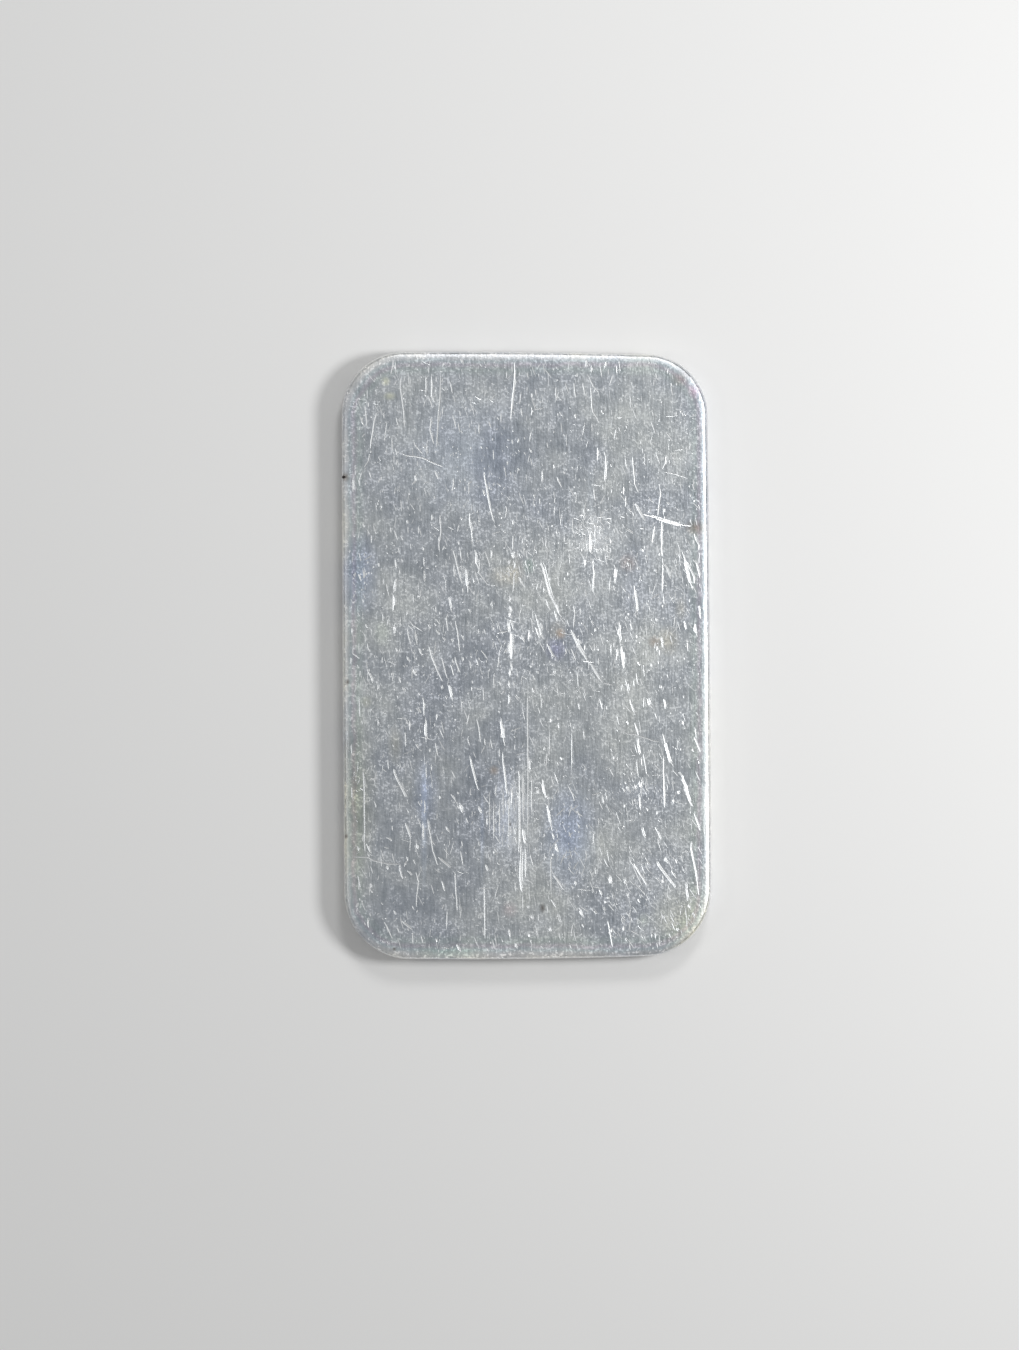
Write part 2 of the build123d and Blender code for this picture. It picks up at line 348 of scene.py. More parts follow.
UPPER_SCRATCHES = [
    (0.12, (-14.01, 14.43), (-14.01, 13.2)),
    (0.045, (-13.86, 15.0), (-13.87, 14.6)),
    (0.045, (-13.28, 14.95), (-13.57, 14.15), (-13.5, 13.7)),
    (0.045, (-12.77, 14.95), (-12.58, 14.3)),
    (0.06, (-11.76, 14.5), (-11.76, 14.2)),
    (0.11, (-9.0, 14.6), (-8.95, 14.15), (-9.25, 13.8)),
    (0.045, (-7.92, 14.1), (-8.35, 13.9)),
    (0.09, (-7.4, 15.0), (-7.25, 14.6), (-7.1, 14.3)),
    (0.06, (-5.92, 14.35), (-5.9, 13.85), (-6.0, 13.3)),
    (0.05, (-5.45, 14.25), (-5.3, 14.0)),
    (0.045, (-9.6, 12.1), (-9.55, 11.8)),
    (0.09, (-7.63, 11.43), (-7.63, 10.9)),
    (
        0.07,
        (-7.0, 11.4), (-7.0, 10.9), (-6.95, 10.5), (-6.93, 10.0), (-7.0, 9.5), (-7.1, 9.0),
        (-7.05, 8.4),
    ),
    (0.09, (-9.64, 11.0), (-9.62, 10.66)),
    (0.07, (-9.6, 10.5), (-9.58, 9.85)),
    (0.06, (-8.75, 10.5), (-8.72, 9.8)),
    (0.09, (-5.37, 11.2), (-5.2, 11.0)),
    (0.06, (-5.47, 10.65), (-5.6, 10.0)),
    (0.09, (-13.25, 10.66), (-13.1, 10.35)),
    (0.06, (-12.9, 10.2), (-12.7, 9.8)),
    (0.05, (-11.0, 10.4), (-10.95, 9.9)),
    (0.06, (-10.2, 9.7), (-10.0, 9.3)),
    (0.09, (-5.5, 9.26), (-5.43, 8.95)),
    (0.07, (-11.33, 8.95), (-11.27, 8.7)),
    (0.07, (-10.4, 8.8), (-10.28, 8.3)),
    (0.09, (-14.3, 8.6), (-14.3, 8.25)),
    (0.09, (-8.33, 8.8), (-8.32, 8.45)),
    (0.1, (-6.6, 8.9), (-6.77, 8.5)),
    (0.07, (-5.95, 8.55), (-5.8, 8.05), (-5.65, 7.5), (-5.55, 7.0), (-5.4, 6.45), (-5.2, 5.8)),
    (0.08, (-10.6, 7.85), (-10.57, 7.35), (-10.46, 7.05)),
    (0.05, (-10.3, 6.95), (-10.25, 6.6)),
    (0.13, (-10.47, 6.3), (-10.6, 5.9), (-10.66, 5.5), (-10.76, 5.05)),
    (0.08, (-8.15, 7.12), (-7.9, 7.1)),
    (0.08, (-8.27, 6.95), (-8.25, 6.5), (-8.26, 6.05)),
    (0.045, (-8.3, 8.0), (-8.28, 7.2)),
    (0.08, (-12.4, 7.25), (-12.35, 7.1)),
    (0.11, (-12.0, 7.5), (-11.9, 7.15)),
    (0.06, (-11.77, 7.1), (-11.76, 6.87)),
    (0.1, (-13.6, 6.6), (-13.44, 6.25), (-13.35, 6.05)),
    (0.09, (-13.1, 6.9), (-13.1, 6.45), (-13.2, 6.25)),
    (0.045, (-11.6, 6.2), (-11.56, 5.8)),
    (0.045, (-6.7, 6.5), (-6.6, 6.1)),
    (0.05, (-5.17, 5.5), (-5.15, 5.05)),
    (0.06, (-4.98, 14.35), (-4.98, 14.1)),
    (0.06, (-4.98, 13.7), (-4.98, 13.3)),
    (
        0.1,
        (-3.4, 14.87), (-3.37, 14.5), (-3.25, 13.85), (-3.18, 13.4), (-3.08, 12.77), (-2.9, 11.94),
        (-2.77, 11.43), (-2.6, 10.82),
    ),
    (0.045, (-2.6, 10.6), (-2.47, 10.3)),
    (0.09, (-3.5, 13.47), (-3.4, 13.1), (-3.33, 12.93)),
    (0.09, (-2.26, 10.57), (-2.0, 10.66)),
    (0.06, (-1.75, 13.65), (-1.85, 13.45)),
    (0.05, (-1.7, 12.1), (-1.6, 11.85), (-1.7, 11.2)),
    (0.11, (-4.55, 11.55), (-4.54, 11.05), (-4.5, 10.6), (-4.4, 10.15), (-4.36, 9.7), (-4.3, 9.15)),
    (0.045, (-4.2, 10.9), (-4.05, 10.5)),
    (0.09, (-1.05, 11.0), (-1.08, 10.55)),
    (0.06, (-1.9, 10.1), (-1.7, 9.9)),
    (0.06, (-1.1, 9.7), (-1.08, 9.5), (-1.1, 9.0), (-1.1, 8.5)),
    (0.13, (-1.0, 8.5), (-1.1, 8.1), (-1.05, 7.8)),
    (0.09, (-0.95, 7.6), (-0.92, 7.0)),
    (0.045, (-1.0, 6.7), (-1.0, 5.75), (-1.1, 5.05)),
    (0.12, (-1.35, 7.75), (-1.42, 7.35)),
    (0.1, (-2.83, 8.55), (-2.8, 8.2), (-2.83, 7.85)),
    (0.07, (-3.37, 8.5), (-3.18, 8.0), (-3.0, 7.5), (-2.96, 7.15)),
    (0.13, (-4.2, 8.6), (-4.08, 8.05), (-4.04, 7.5), (-3.9, 7.0)),
    (0.045, (-3.85, 7.86), (-3.8, 7.35), (-3.85, 6.7), (-3.53, 6.27), (-3.15, 5.75)),
    (0.09, (-4.3, 6.27), (-4.2, 5.8)),
    (0.15, (-4.94, 7.1), (-4.9, 6.5), (-4.8, 5.9), (-4.75, 5.4), (-4.75, 5.05)),
    (0.09, (-0.6, 6.4), (-0.4, 5.95), (-0.1, 5.5)),
    (0.045, (0.55, 7.3), (0.65, 6.7)),
    (0.08, (0.83, 7.4), (0.85, 7.2)),
    (0.045, (0.45, 7.9), (0.65, 7.2)),
    (0.08, (1.3, 15.0), (1.3, 14.6), (1.28, 14.0)),
    (0.05, (1.08, 12.75), (1.1, 12.2)),
    (0.05, (0.96, 11.75), (1.0, 11.5)),
    (0.06, (1.03, 10.85), (1.3, 10.3)),
    (0.05, (1.0, 9.9), (1.02, 9.65)),
    (0.08, (2.5, 14.45), (2.6, 14.15), (2.9, 13.6)),
    (0.08, (3.0, 14.95), (3.12, 14.65)),
    (0.045, (2.3, 12.8), (2.25, 12.3)),
    (0.045, (2.3, 12.1), (2.25, 11.4)),
    (0.1, (2.1, 10.6), (2.13, 10.35)),
    (0.045, (2.17, 9.9), (2.17, 9.6)),
    (0.09, (2.45, 10.1), (2.5, 9.8)),
    (0.045, (1.6, 9.45), (1.55, 8.9), (1.75, 8.55)),
    (0.1, (4.0, 10.15), (4.2, 9.85)),
    (0.1, (4.55, 10.0), (4.65, 9.75)),
    (0.05, (3.07, 9.65), (3.12, 9.15)),
    (0.11, (4.9, 9.13), (5.0, 8.4)),
    (0.08, (4.5, 8.7), (4.5, 8.4)),
    (0.14, (4.57, 8.05), (4.73, 7.7), (4.73, 7.1)),
    (0.06, (3.45, 8.3), (3.5, 7.3)),
    (0.1, (3.4, 6.8), (3.4, 6.4)),
    (
        0.19,
        (1.2, 7.55), (1.4, 7.15), (1.57, 6.5), (1.75, 5.75), (1.95, 5.0), (2.2, 4.5), (2.45, 4.1),
        (2.65, 3.45), (2.9, 3.1),
    ),
    (0.1, (1.9, 6.35), (1.9, 6.0)),
    (0.1, (1.45, 5.6), (1.45, 5.05)),
    (0.045, (1.28, 6.1), (1.1, 5.4)),
    (0.06, (1.0, 5.95), (0.8, 5.3)),
    (0.07, (2.55, 5.97), (2.65, 5.55)),
    (0.06, (4.1, 5.55), (4.1, 5.1)),
    (0.09, (7.9, 13.7), (7.9, 13.3), (7.87, 13.0)),
    (0.05, (8.05, 12.95), (8.05, 12.2), (8.0, 12.05)),
    (0.06, (8.25, 11.8), (8.6, 11.6)),
    (0.06, (6.2, 13.85), (6.2, 13.4)),
    (0.045, (6.9, 13.5), (6.9, 13.1)),
    (0.05, (5.45, 13.55), (5.5, 13.0), (5.6, 12.5)),
    (0.045, (11.1, 14.87), (12.0, 14.7), (12.6, 14.5), (13.0, 14.35)),
    (0.06, (10.8, 13.6), (10.9, 13.15), (10.77, 12.3), (10.7, 11.7), (10.65, 11.3)),
    (0.08, (11.37, 12.45), (11.6, 12.25)),
    (0.12, (11.15, 11.95), (11.15, 11.35)),
    (0.13, (8.83, 12.35), (9.1, 11.8), (9.4, 11.25), (9.6, 10.9)),
    (
        0.16,
        (9.4, 11.43), (9.97, 11.3), (10.55, 11.15), (11.1, 10.95), (11.7, 10.8), (12.2, 10.65),
        (12.8, 10.55), (13.4, 10.47),
    ),
    (0.09, (10.1, 11.9), (9.9, 11.55)),
    (0.06, (5.2, 11.3), (5.25, 10.85)),
    (0.09, (6.35, 10.9), (6.9, 10.7)),
    (0.06, (7.05, 10.3), (7.2, 9.9)),
    (0.06, (7.8, 10.65), (7.97, 10.3)),
    (0.1, (8.05, 10.27), (8.4, 10.1), (8.7, 9.9)),
    (0.16, (5.15, 10.2), (5.2, 9.6), (5.2, 8.6), (5.25, 8.25)),
    (0.09, (5.5, 9.9), (5.65, 9.4)),
    (0.07, (5.95, 9.65), (6.05, 9.4)),
    (0.09, (6.8, 9.5), (6.9, 9.0)),
    (0.09, (5.65, 8.75), (5.77, 8.25)),
    (0.08, (6.3, 8.75), (6.35, 8.4)),
    (0.06, (5.85, 8.05), (5.95, 7.65)),
    (0.1, (5.45, 7.85), (5.45, 7.1), (5.53, 6.65), (5.45, 6.1), (5.43, 5.05)),
    (0.05, (6.4, 8.2), (6.5, 7.35)),
    (0.17, (7.07, 7.35), (7.25, 6.95), (7.2, 6.4), (7.07, 5.8)),
    (0.07, (7.07, 5.7), (7.15, 5.2)),
    (0.05, (6.8, 6.4), (6.7, 5.1)),
    (0.1, (8.75, 5.75), (8.85, 4.95), (8.95, 4.35), (9.0, 3.8), (9.05, 3.55)),
    (0.1, (10.45, 10.5), (10.4, 10.15), (10.3, 9.65), (10.25, 9.1)),
    (0.1, (11.0, 10.85), (11.0, 10.4), (10.95, 9.7), (11.0, 9.25), (11.0, 8.6), (11.05, 8.0)),
    (0.08, (11.05, 7.95), (11.1, 7.5), (11.4, 7.1), (11.55, 6.65), (11.75, 6.15)),
    (0.09, (11.05, 7.4), (11.1, 6.95), (11.05, 6.4), (11.03, 5.05)),
    (0.08, (10.4, 7.0), (10.6, 6.7)),
    (0.14, (12.6, 8.4), (12.75, 8.05), (12.9, 7.35), (13.05, 6.85), (13.2, 6.15), (13.5, 5.25)),
    (0.11, (13.0, 7.65), (13.3, 7.0), (13.6, 6.4), (13.65, 5.8)),
    (0.11, (13.5, 7.8), (13.8, 7.5), (14.0, 6.75), (14.1, 6.2)),
    (0.1, (13.6, 9.9), (13.8, 9.3), (14.0, 8.95), (14.0, 8.5)),
    (0.06, (13.55, 9.4), (13.5, 9.0)),
    (0.06, (12.35, 10.9), (12.5, 10.3)),
    (0.06, (13.9, 12.25), (14.1, 11.8)),
]
MIDDLE_SCRATCHES = [
    (0.13, (-10.78, 4.95), (-10.75, 4.25), (-10.8, 3.5)),
    (0.045, (-10.55, 4.6), (-10.55, 4.25)),
    (0.07, (-13.25, 4.6), (-13.2, 4.25)),
    (0.07, (-9.2, 4.95), (-9.13, 4.2)),
    (0.1, (-8.75, 4.9), (-8.75, 4.65)),
    (0.08, (-9.6, 3.6), (-9.65, 3.25)),
    (0.12, (-6.27, 4.8), (-6.15, 4.15), (-6.0, 3.5)),
    (0.07, (-7.35, 4.0), (-7.3, 3.45)),
    (0.06, (-6.35, 3.4), (-6.5, 3.0), (-6.42, 2.45), (-6.35, 1.95)),
    (0.05, (-5.8, 2.85), (-5.6, 1.95), (-5.5, 1.15), (-5.4, 0.2)),
    (0.14, (-10.6, 2.65), (-10.7, 2.45), (-10.67, 2.2), (-10.75, 1.7)),
    (0.07, (-10.3, 1.87), (-10.2, 1.65)),
    (0.07, (-12.55, 2.2), (-12.55, 1.75)),
    (0.1, (-14.1, 2.25), (-14.1, 1.75)),
    (0.09, (-7.95, 2.55), (-7.75, 2.2)),
    (0.09, (-7.35, 2.05), (-7.15, 1.87), (-7.0, 1.7)),
    (0.12, (-6.8, 1.55), (-6.55, 1.2)),
    (0.12, (-6.1, 1.4), (-5.9, 1.08)),
    (0.12, (-5.25, 1.75), (-5.0, 1.2)),
    (0.07, (-9.67, 2.25), (-9.58, 1.7), (-9.48, 1.3), (-9.35, 0.8)),
    (0.07, (-9.6, 2.5), (-9.2, 2.05)),
    (0.1, (-8.95, 2.05), (-8.97, 1.55), (-8.85, 1.15), (-8.8, 0.85)),
    (0.1, (-8.7, 0.65), (-8.53, 0.2), (-8.37, 0.05)),
    (0.09, (-7.9, 0.8), (-7.67, -0.05), (-7.5, -0.5), (-7.25, -1.1), (-6.97, -1.7), (-6.77, -2.1)),
    (0.07, (-6.9, -0.1), (-6.7, -0.8), (-6.55, -1.45), (-6.4, -1.9)),
    (0.045, (-6.15, -0.75), (-6.0, -1.2), (-5.9, -1.65)),
    (0.07, (-5.8, -0.1), (-5.7, -0.55), (-5.53, -1.0), (-5.37, -1.4)),
    (0.09, (-5.2, -0.05), (-5.1, -0.5)),
    (0.1, (-9.67, -0.07), (-9.57, -0.3), (-9.4, -0.5)),
    (0.09, (-10.55, 0.65), (-10.45, 0.25)),
    (0.06, (-11.68, -0.1), (-11.7, -0.65)),
    (0.07, (-12.9, 1.0), (-12.83, 0.6), (-12.65, 0.3)),
    (0.08, (-14.2, -0.1), (-14.2, -0.8)),
    (0.05, (-13.7, -0.75), (-13.55, -1.05)),
    (0.1, (-12.87, -1.1), (-12.67, -1.5), (-12.5, -1.85), (-12.42, -2.2)),
    (0.1, (-11.97, -2.3), (-12.0, -2.85)),
    (0.2, (-9.13, -1.1), (-9.0, -1.4), (-8.85, -1.6)),
    (0.12, (-10.0, -2.55), (-9.9, -2.75), (-9.77, -2.9)),
    (0.1, (-8.7, -2.98), (-8.6, -3.25)),
    (0.1, (-8.33, -3.35), (-8.27, -4.05), (-8.25, -4.95)),
    (0.07, (-8.95, -4.25), (-8.7, -4.5), (-8.5, -4.65)),
    (0.12, (-6.87, -2.4), (-6.77, -2.75)),
    (0.13, (-6.27, -2.35), (-6.17, -2.8), (-6.05, -3.3), (-6.0, -3.7)),
    (0.09, (-7.25, -4.7), (-7.25, -5.25)),
    (0.05, (-11.75, -3.35), (-11.9, -3.75)),
    (0.045, (-13.57, -3.3), (-13.53, -4.2), (-13.53, -4.95)),
    (0.05, (-12.2, -3.0), (-12.1, -3.5)),
    (0.05, (-11.8, -4.5), (-11.25, -4.75)),
    (0.1, (-4.7, 3.8), (-4.5, 3.45)),
    (0.09, (-2.67, 2.35), (-2.65, 2.0)),
    (0.06, (-2.87, 4.3), (-2.87, 4.0)),
    (0.13, (-1.33, 4.75), (-1.3, 4.3)),
    (0.17, (-1.37, 4.05), (-1.25, 3.65), (-1.37, 3.35), (-1.33, 3.0)),
    (0.17, (-1.5, 2.85), (-1.43, 2.3), (-1.4, 1.8)),
    (0.09, (-1.3, 2.9), (-1.1, 2.45), (-1.0, 2.05)),
    (0.27, (-1.3, 1.95), (-1.3, 1.2), (-1.3, 0.4), (-1.3, -0.35)),
    (0.12, (-1.25, -0.5), (-1.17, -1.3)),
    (0.13, (-1.37, -1.05), (-1.33, -1.8)),
    (0.14, (-1.4, -2.0), (-1.43, -2.3), (-1.33, -2.7)),
    (0.1, (-1.4, -3.1), (-1.38, -3.55), (-1.4, -3.95)),
    (0.1, (-1.6, 0.55), (-1.8, 0.15)),
    (0.09, (-0.37, 1.65), (-0.25, 1.35), (-0.1, 1.05)),
    (0.2, (0.25, 2.1), (0.25, 1.1)),
    (0.08, (-0.4, 4.1), (-0.05, 4.05)),
    (0.07, (0.85, 4.6), (0.9, 4.2)),
    (0.1, (0.77, 3.35), (0.93, 2.75), (1.12, 2.1), (1.2, 1.7), (1.5, 1.3)),
    (0.1, (1.15, 2.7), (1.37, 2.0)),
    (0.045, (0.3, 3.1), (0.55, 2.6)),
    (0.09, (0.77, 2.3), (0.93, 1.8), (1.1, 1.4)),
    (0.1, (1.6, 4.6), (1.75, 4.05), (1.97, 3.65)),
    (0.11, (2.3, 3.65), (2.43, 3.15), (2.55, 2.75)),
    (0.07, (2.7, 3.1), (2.97, 2.77), (3.2, 2.5)),
    (0.19, (3.6, 2.15), (3.93, 1.5), (4.2, 0.85), (4.5, 0.35), (4.8, -0.17), (5.0, -0.5)),
    (0.13, (5.0, -0.4), (5.25, -0.75), (5.65, -1.4), (5.95, -1.9), (6.15, -2.15)),
    (0.045, (6.15, -2.2), (6.75, -2.35), (7.05, -2.4)),
    (0.1, (4.2, 1.4), (4.45, 0.9)),
    (0.1, (4.73, 0.9), (4.75, 0.4)),
    (0.045, (3.93, 3.7), (3.87, 2.9), (3.8, 2.25)),
    (0.05, (4.35, 3.9), (4.37, 3.3)),
    (0.05, (3.0, 1.15), (3.03, 0.85)),
    (0.05, (3.13, 0.6), (3.27, 0.1)),
    (0.1, (1.7, 1.0), (1.9, 0.5), (2.1, 0.15), (2.25, -0.1)),
    (0.1, (0.33, -0.75), (0.43, -1.0)),
    (0.1, (0.85, -1.25), (1.0, -1.45)),
    (0.12, (2.27, -1.15), (2.3, -1.6)),
    (0.045, (4.55, -0.9), (4.43, -1.25)),
    (0.05, (4.15, -1.3), (4.2, -2.65)),
    (0.05, (4.45, -2.5), (4.2, -2.8)),
    (0.1, (4.2, -3.85), (4.35, -4.4)),
    (0.12, (-0.9, -3.2), (-0.6, -3.6)),
    (0.1, (-2.22, -2.1), (-2.03, -2.45)),
    (0.07, (-3.7, 0.45), (-3.4, 0.1), (-3.15, -0.3)),
    (0.06, (-4.05, -0.3), (-3.87, -0.85)),
    (0.06, (-3.87, 2.15), (-3.87, 1.8)),
    (0.05, (-3.45, 2.2), (-3.3, 1.7)),
    (0.05, (-4.6, -0.4), (-4.5, -1.1)),
    (0.05, (-4.4, -2.0), (-4.35, -2.3)),
    (0.05, (-4.45, -2.5), (-4.43, -2.9)),
    (0.045, (-3.5, -2.6), (-3.47, -3.75)),
    (0.08, (-2.25, -4.45), (-2.15, -4.65)),
    (0.06, (-2.25, 0.0), (-2.25, -0.55), (-2.35, -0.95)),
    (0.05, (2.3, -2.8), (2.5, -3.0)),
    (0.05, (1.15, -3.1), (1.2, -3.4)),
    (0.05, (0.95, -4.2), (1.1, -4.75)),
    (0.06, (10.05, 4.55), (10.4, 4.8), (10.75, 5.0)),
    (0.06, (13.2, 4.6), (13.22, 4.25)),
    (0.07, (13.5, 4.75), (13.8, 4.75)),
    (0.1, (14.0, 4.1), (14.05, 3.7), (14.1, 3.2), (14.15, 2.95)),
    (0.07, (8.1, 3.2), (8.3, 2.9)),
    (0.08, (8.4, 2.6), (8.6, 2.05)),
    (0.1, (8.93, 1.7), (9.0, 1.35)),
    (0.11, (10.5, 3.05), (10.6, 2.77)),
    (0.09, (10.1, 2.6), (10.33, 2.4)),
    (0.1, (12.8, 2.85), (12.87, 2.45), (12.97, 2.05)),
    (0.045, (12.65, 2.65), (12.2, 2.25), (11.8, 1.8)),
    (0.15, (13.6, 2.65), (13.67, 2.0), (13.87, 1.5)),
    (0.1, (5.25, 2.8), (5.5, 2.5)),
    (0.12, (5.57, 2.25), (5.57, 1.87)),
    (0.16, (7.55, 2.75), (7.53, 2.2), (7.5, 1.8), (7.6, 1.4), (7.65, 1.05)),
    (0.18, (7.75, 0.8), (7.8, 0.15), (7.9, -0.5), (7.9, -1.05)),
    (0.09, (7.4, 0.6), (7.4, 0.1), (7.33, -0.4)),
    (0.06, (7.1, 1.1), (7.07, 0.65)),
    (0.05, (6.85, 1.0), (6.85, 0.0)),
    (0.045, (5.1, 0.9), (5.4, 0.3)),
    (0.12, (8.05, -1.9), (8.2, -2.35), (8.32, -3.05)),
    (0.1, (8.4, -3.5), (8.5, -3.9), (8.67, -4.4), (8.8, -4.65)),
    (0.11, (5.95, -3.5), (6.1, -3.95), (6.2, -4.4)),
    (0.045, (8.6, 0.65), (8.85, 0.05)),
    (0.06, (8.9, -1.4), (8.95, -1.7), (9.0, -2.1), (9.1, -2.4)),
    (0.05, (8.7, -1.9), (8.7, -2.5)),
    (0.09, (10.6, 0.8), (10.6, 0.3)),
    (0.045, (10.6, 0.25), (10.3, -0.1)),
    (0.1, (10.13, -0.55), (10.15, -0.95)),
    (0.08, (10.95, 1.55), (11.03, 1.05), (11.05, 0.65)),
    (0.12, (10.87, -2.35), (10.87, -2.7)),
    (0.06, (11.4, -1.5), (11.5, -1.85)),
    (0.05, (13.05, 1.3), (13.07, 0.3)),
    (0.2, (9.8, -3.45), (10.0, -3.95), (10.25, -4.2)),
    (0.1, (11.15, -3.45), (11.25, -3.95), (11.3, -4.35)),
    (0.06, (13.75, -4.6), (13.95, -4.9)),
]
